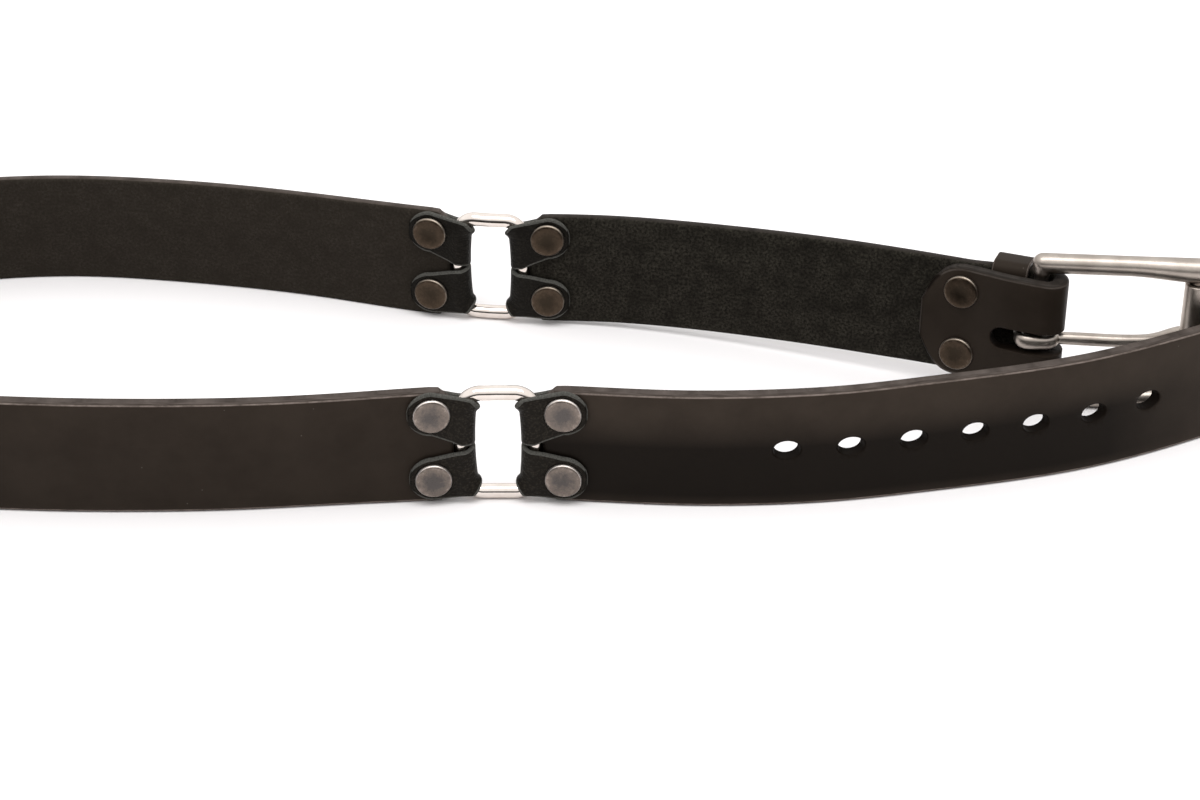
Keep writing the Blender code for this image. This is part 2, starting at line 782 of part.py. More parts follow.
def rail_radius(x):
    """Radius of a rail at a distance from the heel bar: it flares towards the roller."""
    share = (x - RAIL_FLARE_FROM) / (BUCKLE_LENGTH - RAIL_FLARE_FROM)
    return RAIL_AT_HEEL + (RAIL_AT_ROLLER - RAIL_AT_HEEL) * float(smoothstep(share))


def rail_points():
    """Stations (x, radius) of a rail with a ball at each end."""
    rows = []
    for angle in RAIL_BALL_ANGLES:
        turn = math.radians(angle)
        rows.append((-RAIL_AT_HEEL * math.sin(turn), RAIL_AT_HEEL * math.cos(turn)))
    for share in RAIL_SHARES:
        x = share * BUCKLE_LENGTH
        rows.append((x, rail_radius(x)))
    for angle in reversed(RAIL_BALL_ANGLES):
        turn = math.radians(angle)
        x = BUCKLE_LENGTH + RAIL_AT_ROLLER * math.sin(turn)
        rows.append((x, RAIL_AT_ROLLER * math.cos(turn)))
    return rows


def rail_height(x):
    """Height of the lower rail's middle, so that its underside is level."""
    return rail_radius(max(0.0, x))


def make_rail(name, upper, collection):
    rows = rail_points()
    points = []
    for x, _ in rows:
        height = rail_height(x)
        points.append((x, 0.0, BUCKLE_HEIGHT - height if upper else height))
    return tube_mesh_object(name, points, [radius for _, radius in rows], collection, resolution=4)


def make_heel_bar(name, collection):
    """The bar in the strap's fold, thicker where it meets the rails."""
    points = [(0.0, 0.0, height * MM) for height, _ in HEEL_BAR_LINE]
    radii = [radius * MM for _, radius in HEEL_BAR_LINE]
    return tube_mesh_object(name, points, radii, collection, resolution=3)


def make_end_bar(name, collection):
    """The bar that carries the roller, from rail to rail."""
    shape = bmesh.new()
    bmesh.ops.create_cone(
        shape,
        cap_ends=True,
        segments=BAR_SIDES,
        radius1=END_BAR,
        radius2=END_BAR,
        depth=BUCKLE_HEIGHT - 2 * RAIL_AT_ROLLER,
        matrix=Matrix.Translation((BUCKLE_LENGTH, 0.0, BUCKLE_HEIGHT / 2)),
    )
    mesh = bpy.data.meshes.new(name)
    shape.to_mesh(mesh)
    shape.free()
    return new_object(name, mesh, collection)


def buckle_move(route):
    """The move that sets buckle points, modelled from the heel bar along +X, in their place."""
    heel = route.bend(np.array([[HEEL_SLACK, BAR_OUT, 0.0]]))[0]
    cos_yaw = math.cos(BUCKLE_YAW)
    sin_yaw = math.sin(BUCKLE_YAW)

    def move(points):
        x, y, z = points.T
        return np.column_stack(
            [heel[0] + x * cos_yaw - y * sin_yaw, heel[1] + x * sin_yaw + y * cos_yaw, z]
        )

    return move


def make_buckle_frame(move, parts, cutters):
    frame = make_rail("buckle_frame", False, parts)
    others = (
        make_rail("join_upper_rail", True, cutters),
        make_heel_bar("join_heel_bar", cutters),
        make_end_bar("join_end_bar", cutters),
    )
    for other in others:
        join(frame, other)
    return settle(frame, parts, BUCKLE_METAL, [move], sharp=50.0)


def make_roller(move, parts):
    rail = rail_radius(BUCKLE_LENGTH)
    low = 2 * rail + GAP
    high = BUCKLE_HEIGHT - low
    chamfer = ROLLER_CHAMFER
    profile = [
        (ROLLER_OUTSIDE - chamfer, high),
        (ROLLER_OUTSIDE, high - chamfer),
        (ROLLER_OUTSIDE, low + chamfer),
        (ROLLER_OUTSIDE - chamfer, low),
        (ROLLER_INSIDE, low),
        (ROLLER_INSIDE, high),
    ]
    roller = turned_object("buckle_roller", profile, ROLLER_SIDES, parts, closed=True)

    def to_end(points):
        return points + np.array([BUCKLE_LENGTH, 0.0, 0.0])

    return settle(roller, parts, BUCKLE_METAL, [to_end, move], sharp=50.0)


def make_prong(move, parts, cutters):
    half = PRONG_EYE_HEIGHT / 2
    round_off = PRONG_EYE_ROUND
    profile = [
        (PRONG_EYE_OUTSIDE - round_off, half),
        (PRONG_EYE_OUTSIDE, half - round_off),
        (PRONG_EYE_OUTSIDE, -half + round_off),
        (PRONG_EYE_OUTSIDE - round_off, -half),
        (PRONG_EYE_INSIDE, -half),
        (PRONG_EYE_INSIDE, half),
    ]
    eye = turned_object("buckle_prong", profile, PRONG_EYE_SIDES, parts, closed=True)
    points = [(x * MM, out * MM, 0.0) for x, out, _ in PRONG_LINE]
    radii = [radius * MM for _, _, radius in PRONG_LINE]
    wire = tube_mesh_object("join_prong_wire", points, radii, cutters)
    join(eye, wire)

    def lift(points):
        return points + np.array([0.0, 0.0, PRONG_HEIGHT])

    return settle(eye, parts, BUCKLE_METAL, [lift, move], sharp=50.0)


def main():
    parts, cutters = start_scene()
    route = Route(ROUTE)
    make_billet_strap(route, parts, cutters)
    make_back_strap(route, parts, cutters)
    make_buckle_strap(route, parts, cutters)
    make_joint_pieces("front", FRONT_RING_AT, route, parts, cutters)
    make_joint_pieces("back", BACK_RING_AT, route, parts, cutters)
    make_flap_rivets(route, parts)
    make_keeper(route, parts)
    move = buckle_move(route)
    make_buckle_frame(move, parts, cutters)
    make_roller(move, parts)
    make_prong(move, parts, cutters)


main()
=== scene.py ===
"""Looks of a leather belt with a roller buckle that stands on its edge in an open loop.

The leather and metal pieces are made on the flat, straight belt and then carried round the
route that the belt stands in. Flat-belt coordinates are x along the belt from the heel bar,
y out of the loop and z up from the bottom edge. Metres, +Z up.
"""

import logging
import math
from collections.abc import Callable, Sequence
from dataclasses import dataclass, field
from enum import Enum

import bpy
import numpy as np
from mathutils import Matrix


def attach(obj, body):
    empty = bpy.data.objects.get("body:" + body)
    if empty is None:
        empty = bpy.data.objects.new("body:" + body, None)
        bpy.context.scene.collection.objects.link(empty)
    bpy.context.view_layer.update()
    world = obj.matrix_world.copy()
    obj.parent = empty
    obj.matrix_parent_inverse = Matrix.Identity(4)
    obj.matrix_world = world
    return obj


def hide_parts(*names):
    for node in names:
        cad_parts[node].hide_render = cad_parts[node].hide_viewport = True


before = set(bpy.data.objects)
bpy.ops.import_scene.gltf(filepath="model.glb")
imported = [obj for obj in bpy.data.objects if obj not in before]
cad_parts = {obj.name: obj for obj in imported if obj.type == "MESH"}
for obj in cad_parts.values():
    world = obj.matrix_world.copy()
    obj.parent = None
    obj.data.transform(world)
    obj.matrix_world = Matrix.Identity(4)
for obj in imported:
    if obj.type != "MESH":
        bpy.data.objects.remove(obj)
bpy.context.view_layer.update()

MM = 0.001
RANGE_ENDS = ("From Min", "From Max", "To Min", "To Max")
RIVET_PUNCH_SIDES = 24
LONG_PUNCH_SIDES = 48
PUNCH_TAPER = 0.13
LOG = logging.getLogger("roller_buckle_belt")

Move = Callable[[np.ndarray], np.ndarray]
Colour = tuple[float, float, float]
Spot = tuple[float, float, float]
Profile = list[tuple[float, float]]
Socket = bpy.types.NodeSocket


class Level(Enum):
    """Above or below the middle of the strap."""

    UPPER = 1
    LOWER = -1


class RingSide(Enum):
    """Past a ring or short of it, going along the belt from the buckle."""

    AFTER = 1
    BEFORE = -1


class Outline(Enum):
    """Outline of a punched opening."""

    OVAL = "oval"
    OBLONG = "oblong"


class Stretch(Enum):
    """Stretches of a tab: its round end, the way to the wire, and the bend round the wire."""

    END = "end"
    SPAN = "span"
    BEND = "bend"


Station = tuple[Stretch, float, int]


class Slot(Enum):
    """The record's material slots."""

    STRAP = "strap_leather"
    TAB = "tab_leather"
    RIVET = "aged_rivet"
    RING = "polished_nickel"
    BUCKLE = "satin_nickel"


@dataclass(frozen=True)
class BeltSizes:
    """Sizes that the sub-assemblies share, metres."""

    width: float = 38.0 * MM
    middle: float = 19.0 * MM
    cad_thickness: float = 3.0 * MM
    thickness: float = 3.9 * MM
    gap: float = 0.3 * MM
    ring_to_strap: float = 13.1 * MM
    rivet_to_ring: float = 19.3 * MM
    rivet_up: float = 11.1 * MM
    rivets_middle: float = 19.9 * MM
    rivet_hole: float = 2.1 * MM
    back_ring_at: float = 182.9 * MM
    front_ring_at: float = 771.9 * MM
    tip_at: float = 1070.3 * MM
    heel_bar: float = 2.2 * MM
    heel_slack: float = 2.6 * MM
    lift_at_heel: float = 7.5 * MM

    @property
    def layer_step(self) -> float:
        """Distance between the middles of the two layers of the fold."""
        return self.cad_thickness + self.gap

    @property
    def fold_bend(self) -> float:
        """Radius of the folded layer's middle round the heel bar."""
        return self.heel_bar + self.gap + self.cad_thickness / 2

    @property
    def fold_arc(self) -> float:
        """Length of strap that lies round the heel bar."""
        return math.pi * self.fold_bend

    @property
    def bar_out(self) -> float:
        """Place of the heel bar out of the strap's middle layer."""
        return -self.layer_step / 2


BELT = BeltSizes()


def smoothstep(share: np.ndarray | float) -> np.ndarray:
    """A soft step from 0 to 1."""
    inside = np.clip(share, 0.0, 1.0)
    return inside * inside * (3 - 2 * inside)


def natural_spline(knots: np.ndarray, values: np.ndarray, at: np.ndarray) -> np.ndarray:
    """Reads the natural cubic spline through values at knots.

    Args:
        knots: rising places of the rows.
        values: one row of numbers for each knot.
        at: the places to read.

    Returns:
        One row for each place.
    """
    steps = np.diff(knots)
    slopes = np.diff(values, axis=0) / steps[:, None]
    system = np.eye(len(knots))
    turn = np.zeros_like(values)
    for i in range(1, len(knots) - 1):
        system[i, i - 1 : i + 2] = (steps[i - 1], 2 * (steps[i - 1] + steps[i]), steps[i])
        turn[i] = 6 * (slopes[i] - slopes[i - 1])
    bends = np.linalg.solve(system, turn)
    span = np.clip(np.searchsorted(knots, at, side="right") - 1, 0, len(steps) - 1)
    step = steps[span]
    after = (at - knots[span]) / step
    before = 1 - after
    straight = before[:, None] * values[span] + after[:, None] * values[span + 1]
    bow_before = ((before**3 - before) * step**2 / 6)[:, None] * bends[span]
    bow_after = ((after**3 - after) * step**2 / 6)[:, None] * bends[span + 1]
    return straight + bow_before + bow_after


@dataclass
class BeltRoute:
    """The route of the strap's middle layer, and the moves that carry flat points round it."""

    shift: tuple[float, float] = (-0.83, 0.86)
    samples: int = 1400
    # x and y in plan, mm, and how far the top edge leans out of the loop, degrees.
    rows: tuple[tuple[float, float, float], ...] = (
        (158.8, -11.8, 0.0),
        (129.0, 1.2, 1.2),
        (99.2, 13.8, 1.8),
        (74.0, 23.2, 1.4),
        (48.2, 31.5, 0.8),
        (22.0, 37.6, 1.0),
        (-14.8, 42.0, 1.6),
        (-44.5, 49.0, 0.8),
        (-71.8, 57.4, -1.1),
        (-99.5, 64.1, -1.4),
        (-127.3, 69.0, -2.0),
        (-155.0, 71.8, -2.8),
        (-182.1, 70.0, -2.4),
        (-214.0, 61.7, -1.4),
        (-245.0, 43.5, -0.5),
        (-265.3, 17.0, 0.0),
        (-269.6, -12.0, 0.0),
        (-254.5, -40.5, 0.0),
        (-223.5, -59.5, 0.2),
        (-187.0, -68.0, 0.4),
        (-155.1, -71.4, 0.5),
        (-131.4, -72.5, 0.9),
        (-107.9, -72.5, 1.5),
        (-84.6, -71.5, 2.2),
        (-61.2, -69.4, 2.6),
        (-37.7, -67.4, 1.0),
        (-8.8, -65.9, -0.8),
        (21.6, -67.5, -0.6),
        (45.2, -69.2, -0.6),
        (68.8, -69.0, -0.9),
        (92.5, -66.7, -1.1),
        (116.4, -62.1, -1.8),
        (165.9, -49.5, -3.0),
        (191.9, -38.3, -3.6),
        (218.0, -24.0, -3.0),
        (243.0, -9.0, -2.0),
        (268.0, 4.5, -1.0),
    )
    plan: np.ndarray = field(init=False)
    lean: np.ndarray = field(init=False)
    along: np.ndarray = field(init=False)
    tangent: np.ndarray = field(init=False)

    def __post_init__(self) -> None:
        """Samples the spline through the rows."""
        rows = np.array(self.rows)
        plan = (rows[:, :2] + np.array(self.shift)) * MM
        chords = np.hypot(*np.diff(plan, axis=0).T)
        knots = np.concatenate([[0.0], np.cumsum(chords)])
        at = np.linspace(0.0, knots[-1], self.samples)
        values = np.column_stack([plan, np.radians(rows[:, 2])])
        smooth = natural_spline(knots, values, at)
        self.plan = smooth[:, :2]
        self.lean = smooth[:, 2]
        steps = np.hypot(*np.diff(self.plan, axis=0).T)
        self.along = np.concatenate([[0.0], np.cumsum(steps)])
        tangent = np.gradient(self.plan, axis=0)
        self.tangent = tangent / np.linalg.norm(tangent, axis=1)[:, None]

    def read(self, values: np.ndarray, along: np.ndarray) -> np.ndarray:
        """A sampled quantity at the given lengths along the belt."""
        return np.interp(along, self.along, values)

    def bend(self, points: np.ndarray) -> np.ndarray:
        """Carries flat-belt points round the route.

        Args:
            points: one row (along, out, up) for each point.

        Returns:
            One row (x, y, z) for each point.
        """
        along, out, up = points.T
        inside = np.clip(along, 0.0, self.along[-1])
        tangent = np.column_stack([self.read(self.tangent[:, i], inside) for i in (0, 1)])
        tangent /= np.linalg.norm(tangent, axis=1)[:, None]
        outward = np.column_stack([tangent[:, 1], -tangent[:, 0]])
        plan = np.column_stack([self.read(self.plan[:, i], inside) for i in (0, 1)])
        shift = out + np.tan(self.read(self.lean, inside)) * up
        plan = plan + tangent * (along - inside)[:, None] + outward * shift[:, None]
        lift = BELT.lift_at_heel * np.clip(1 - along / BELT.back_ring_at, 0.0, 1.0)
        return np.column_stack([plan, np.minimum(lift, BELT.lift_at_heel) + up])


@dataclass(frozen=True)
class Fold:
    """How the strap doubles back round the heel bar."""

    reach: float = 27.0 * MM
    closing: float = 1.5

    def spread(self, along: np.ndarray) -> np.ndarray:
        """How far each layer stands off its closed place between the rivets and the bar."""
        share = np.clip(along / self.reach, 0.0, 1.0) ** self.closing
        return (BELT.fold_bend - BELT.layer_step / 2) * (1 - smoothstep(share))

    def carry(self, points: np.ndarray) -> np.ndarray:
        """Folds the part of the flat strap that lies before the heel bar.

        Args:
            points: one row (along, out, up) for each point of the unfolded strap.

        Returns:
            The same rows with the flap laid back along the strap.
        """
        along, out, up = points.T
        bend = BELT.fold_bend
        angle = np.clip(-along / bend, 0.0, math.pi)
        back = -(along + BELT.fold_arc)
        flap = along < -BELT.fold_arc
        new_along = np.where(along > 0, along, -(bend + out) * np.sin(angle))
        new_out = BELT.bar_out + (bend + out) * np.cos(angle)
        new_out = np.where(along > 0, self.spread(along) + out, new_out)
        new_along = np.where(flap, back, new_along)
        new_out = np.where(flap, -BELT.layer_step - self.spread(back) - out, new_out)
        return np.column_stack([new_along, new_out, up])


FOLD = Fold()


# Work on meshes


def deselect_all() -> None:
    """Leaves nothing selected and object mode on."""
    if bpy.context.object and bpy.context.object.mode != "OBJECT":
        bpy.ops.object.mode_set(mode="OBJECT")
    bpy.ops.object.select_all(action="DESELECT")


def only(thing: bpy.types.Object) -> None:
    """Makes one object the selected and active one.

    Args:
        thing: the object.
    """
    deselect_all()
    thing.select_set(True)
    bpy.context.view_layer.objects.active = thing


def named(name: str) -> bpy.types.Object:
    """Names the object that an operator has just added, and returns it.

    Args:
        name: its new name.

    Returns:
        The object.
    """
    made = bpy.context.object
    made.name = name
    made.data.name = name
    return made


def read_points(thing: bpy.types.Object) -> np.ndarray:
    """The places of a mesh's vertices, one row each.

    Args:
        thing: the piece.

    Returns:
        One row (x, y, z) for each vertex.
    """
    points = np.empty(len(thing.data.vertices) * 3)
    thing.data.vertices.foreach_get("co", points)
    return points.reshape(-1, 3)


def write_points(thing: bpy.types.Object, points: np.ndarray) -> None:
    """Moves a mesh's vertices to the rows of points."""
    thing.data.vertices.foreach_set("co", np.ascontiguousarray(points, float).ravel())
    thing.data.update()


def apply_place(thing: bpy.types.Object) -> None:
    """Puts the object's place into its mesh."""
    only(thing)
    bpy.ops.object.transform_apply(location=True, rotation=True, scale=True)


def apply_modifiers(thing: bpy.types.Object) -> None:
    """Applies the object's modifiers from first to last.

    Args:
        thing: the object.
    """
    only(thing)
    for modifier in list(thing.modifiers):
        bpy.ops.object.modifier_apply(modifier=modifier.name)


def shift_half(thing: bpy.types.Object, axis: int, amount: float, sign: int) -> None:
    """Moves the half of a mesh on one side of the origin away from it, in edit mode.

    Args:
        thing: the object, at the origin.
        axis: 0, 1 or 2 for x, y or z.
        amount: how far to move, metres.
        sign: 1 for the half past the origin, -1 for the other.
    """
    only(thing)
    bpy.ops.object.mode_set(mode="EDIT")
    bpy.ops.mesh.select_all(action="DESELECT")
    bpy.ops.object.mode_set(mode="OBJECT")
    for vertex in thing.data.vertices:
        vertex.select = sign * vertex.co[axis] > 1e-7
    bpy.ops.object.mode_set(mode="EDIT")
    move = [0.0, 0.0, 0.0]
    move[axis] = sign * amount
    bpy.ops.transform.translate(value=move)
    bpy.ops.object.mode_set(mode="OBJECT")


def pull_apart(thing: bpy.types.Object, axis: int, amount: float) -> None:
    """Moves both halves of a mesh away from the origin along an axis."""
    for sign in (1, -1):
        shift_half(thing, axis, amount, sign)


def add_modifier(thing: bpy.types.Object, kind: str, **settings: object) -> bpy.types.Modifier:
    """Adds a modifier with its settings.

    Args:
        thing: the object.
        kind: the modifier's type, such as "BEVEL".
        settings: names and values of its settings.

    Returns:
        The modifier.
    """
    modifier = thing.modifiers.new(kind.lower(), kind)
    for name, value in settings.items():
        setattr(modifier, name, value)
    return modifier


def sheet(
    name: str, columns: int, rows: int, place: Callable[[int, int], Sequence[float]]
) -> bpy.types.Object:
    """A sheet of faces, each corner laid where place says.

    Args:
        name: name of the object.
        columns: faces along the sheet.
        rows: faces across it.
        place: gives the point of a (column, row) corner.

    Returns:
        The sheet's object, at the origin.
    """
    deselect_all()
    bpy.ops.mesh.primitive_grid_add(x_subdivisions=columns, y_subdivisions=rows, size=2.0)
    made = named(name)
    points = read_points(made)
    column = np.rint((points[:, 0] + 1) / 2 * columns).astype(int)
    row = np.rint((points[:, 1] + 1) / 2 * rows).astype(int)
    write_points(made, np.array([place(int(c), int(r)) for c, r in zip(column, row)]))
    return made


def round_punch(centre: Sequence[float], radius: float, depth: float, sides: int) -> bpy.types.Object:
    """A round punch across the belt.

    Args:
        centre: flat-belt middle of the hole.
        radius: the hole's radius.
        depth: length of the punch.
        sides: its number of sides.

    Returns:
        The punch, with its place in its mesh.
    """
    deselect_all()
    bpy.ops.mesh.primitive_cylinder_add(vertices=sides, radius=radius, depth=depth)
    made = named("punch")
    only(made)
    bpy.ops.object.mode_set(mode="EDIT")
    bpy.ops.mesh.select_all(action="SELECT")
    bpy.ops.transform.rotate(value=math.pi / 2, orient_axis="X", center_override=(0, 0, 0))
    bpy.ops.transform.translate(value=tuple(centre))
    bpy.ops.object.mode_set(mode="OBJECT")
    return made


def long_punch(
    centre: Sequence[float], length: float, height: float, rim: float, outline: Outline
) -> bpy.types.Object:
    """A long punch across the belt that also eases the rims of its hole.

    Args:
        centre: flat-belt middle of the hole.
        length: the hole's length along the belt.
        height: the hole's height.
        rim: how far the rims are eased.
        outline: whether it has straight sides.

    Returns:
        The punch, with its place in its mesh.
    """
    half = BELT.thickness / 2
    made = round_punch((0.0, 0.0, 0.0), height / 2, 3 * BELT.thickness, LONG_PUNCH_SIDES)
    only(made)
    bpy.ops.object.mode_set(mode="EDIT")
    for out in (-half, -half + rim, half - rim, half):
        bpy.ops.mesh.select_all(action="SELECT")
        bpy.ops.mesh.bisect(plane_co=(0.0, out, 0.0), plane_no=(0.0, 1.0, 0.0))
    bpy.ops.object.mode_set(mode="OBJECT")
    points = read_points(made)
    eased = 1 + np.where(np.abs(points[:, 1]) > half - rim / 2, 2 * rim / height, 0.0)
    if outline is Outline.OVAL:
        eased *= 1 - PUNCH_TAPER * np.clip(0.5 - points[:, 1] / (2 * half), 0.0, 1.0)
        points[:, 0] *= length / height
    points[:, 0] *= eased
    points[:, 2] *= eased
    write_points(made, points)
    if outline is Outline.OBLONG:
        pull_apart(made, 0, (length - height) / 2)
    write_points(made, read_points(made) + np.array(centre))
    return made


def thicken(
    thing: bpy.types.Object, thickness: float, width: float, angle: float, rim_slot: int = 0
) -> None:
    """Gives a sheet its thickness and eases its cut edges.

    Args:
        thing: the sheet.
        thickness: its thickness, half of it on each side.
        width: how far the edges are eased.
        angle: edges sharper than this are eased, degrees.
        rim_slot: material slot of the cut edges; 0 where they have none of their own.
    """
    add_modifier(
        thing,
        "SOLIDIFY",
        thickness=thickness,
        offset=0.0,
        use_even_offset=True,
        material_offset_rim=rim_slot,
    )
    add_modifier(
        thing,
        "BEVEL",
        width=width,
        segments=3,
        material=rim_slot or -1,
        limit_method="ANGLE",
        angle_limit=math.radians(angle),
        use_clamp_overlap=False,
    )
    apply_modifiers(thing)


def cut_away(thing: bpy.types.Object, punches: Sequence[bpy.types.Object]) -> None:
    """Cuts the punches out of a piece, and removes them.

    Args:
        thing: the piece.
        punches: closed meshes that don't touch each other.
    """
    deselect_all()
    for punch in punches:
        punch.select_set(True)
    bpy.context.view_layer.objects.active = punches[0]
    if len(punches) > 1:
        bpy.ops.object.join()
    tool = bpy.context.object
    only(tool)
    bpy.ops.object.mode_set(mode="EDIT")
    bpy.ops.mesh.select_all(action="SELECT")
    bpy.ops.mesh.normals_make_consistent(inside=False)
    bpy.ops.object.mode_set(mode="OBJECT")
    add_modifier(thing, "BOOLEAN", operation="DIFFERENCE", solver="EXACT", object=tool)
    apply_modifiers(thing)
    bpy.data.objects.remove(tool, do_unlink=True)


def turned(
    name: str, profile: Sequence[tuple[float, float]], steps: int, closed: bool = False
) -> bpy.types.Object:
    """A profile spun about the upright axis.

    Args:
        name: name of the object.
        profile: rows (radius, height), from the top down.
        steps: number of sides.
        closed: True where the profile's last point joins its first.

    Returns:
        The turned object, at the origin.
    """
    mesh = bpy.data.meshes.new(name)
    count = len(profile)
    edges = [(i, i + 1) for i in range(count - 1)] + ([(count - 1, 0)] if closed else [])
    mesh.from_pydata([(radius, 0.0, height) for radius, height in profile], edges, [])
    made = bpy.data.objects.new(name, mesh)
    bpy.context.scene.collection.objects.link(made)
    only(made)
    bpy.ops.object.mode_set(mode="EDIT")
    bpy.ops.mesh.select_all(action="SELECT")
    bpy.ops.mesh.spin(steps=steps, angle=2 * math.pi, center=(0, 0, 0), axis=(0, 0, 1))
    bpy.ops.mesh.select_all(action="SELECT")
    bpy.ops.mesh.remove_doubles(threshold=0.01 * MM)
    bpy.ops.mesh.normals_make_consistent(inside=False)
    bpy.ops.object.mode_set(mode="OBJECT")
    return made


def paint(thing: bpy.types.Object, name: str, values: np.ndarray, domain: str = "POINT") -> None:
    """Stores one number for each vertex, or for each face, for a finish to read.

    Args:
        thing: the piece.
        name: name of the attribute.
        values: the numbers.
        domain: POINT or FACE.
    """
    layer = thing.data.attributes.new(name=name, type="FLOAT", domain=domain)
    layer.data.foreach_set("value", np.ascontiguousarray(values, np.float32))


def lay_map(thing: bpy.types.Object, along: np.ndarray, across: np.ndarray) -> None:
    """Gives a piece a map in metres of its own surface.

    Args:
        thing: the piece.
        along: each vertex's length along the leather.
        across: each vertex's height across it.
    """
    mesh = thing.data
    while mesh.uv_layers:
        mesh.uv_layers.remove(mesh.uv_layers[0])
    layer = mesh.uv_layers.new(name="belt_map")
    loops = np.empty(len(mesh.loops), int)
    mesh.loops.foreach_get("vertex_index", loops)
    layer.data.foreach_set("uv", np.column_stack([along[loops], across[loops]]).ravel())


def face_outward(thing: bpy.types.Object) -> None:
    """Turns the faces round if they point in, as after a move that mirrors.

    Args:
        thing: the piece, a closed mesh.
    """
    mesh = thing.data
    mesh.calc_loop_triangles()
    corners = np.empty(len(mesh.loop_triangles) * 3, int)
    mesh.loop_triangles.foreach_get("vertices", corners)
    a, b, c = np.moveaxis(read_points(thing)[corners.reshape(-1, 3)], 1, 0)
    if float((a * np.cross(b, c)).sum()) < 0:
        mesh.flip_normals()


def settle(
    thing: bpy.types.Object,
    moves: Sequence[Move],
    finish: bpy.types.Material,
    body: str,
    node: str,
    slot: Slot,
    sharp: float = 40.0,
    flat_faces: bool = False,
) -> bpy.types.Object:
    """Carries a finished flat piece to its place, dresses it and ties it to the frame.

    Args:
        thing: the piece, at the origin.
        moves: the moves that carry it, in turn.
        finish: its material.
        body: the body that it rides on.
        node: the CAD node that it stands for.
        slot: not used.
        sharp: edges sharper than this angle stay crisp, degrees.
        flat_faces: True where broad faces stay flat up to their eased edges.

    Returns:
        The piece.
    """
    points = read_points(thing)
    for move in moves:
        points = move(points)
    write_points(thing, points)
    face_outward(thing)
    thing.data.materials.clear()
    thing.data.materials.append(finish)
    only(thing)
    bpy.ops.object.shade_smooth_by_angle(angle=math.radians(sharp))
    if flat_faces:
        add_modifier(thing, "WEIGHTED_NORMAL", weight=80, keep_sharp=True)
        apply_modifiers(thing)
    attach(thing, body)
    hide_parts(node)
    LOG.info("%s: %d vertices, for node %s", thing.name, len(thing.data.vertices), node)
    return thing


# Finishes


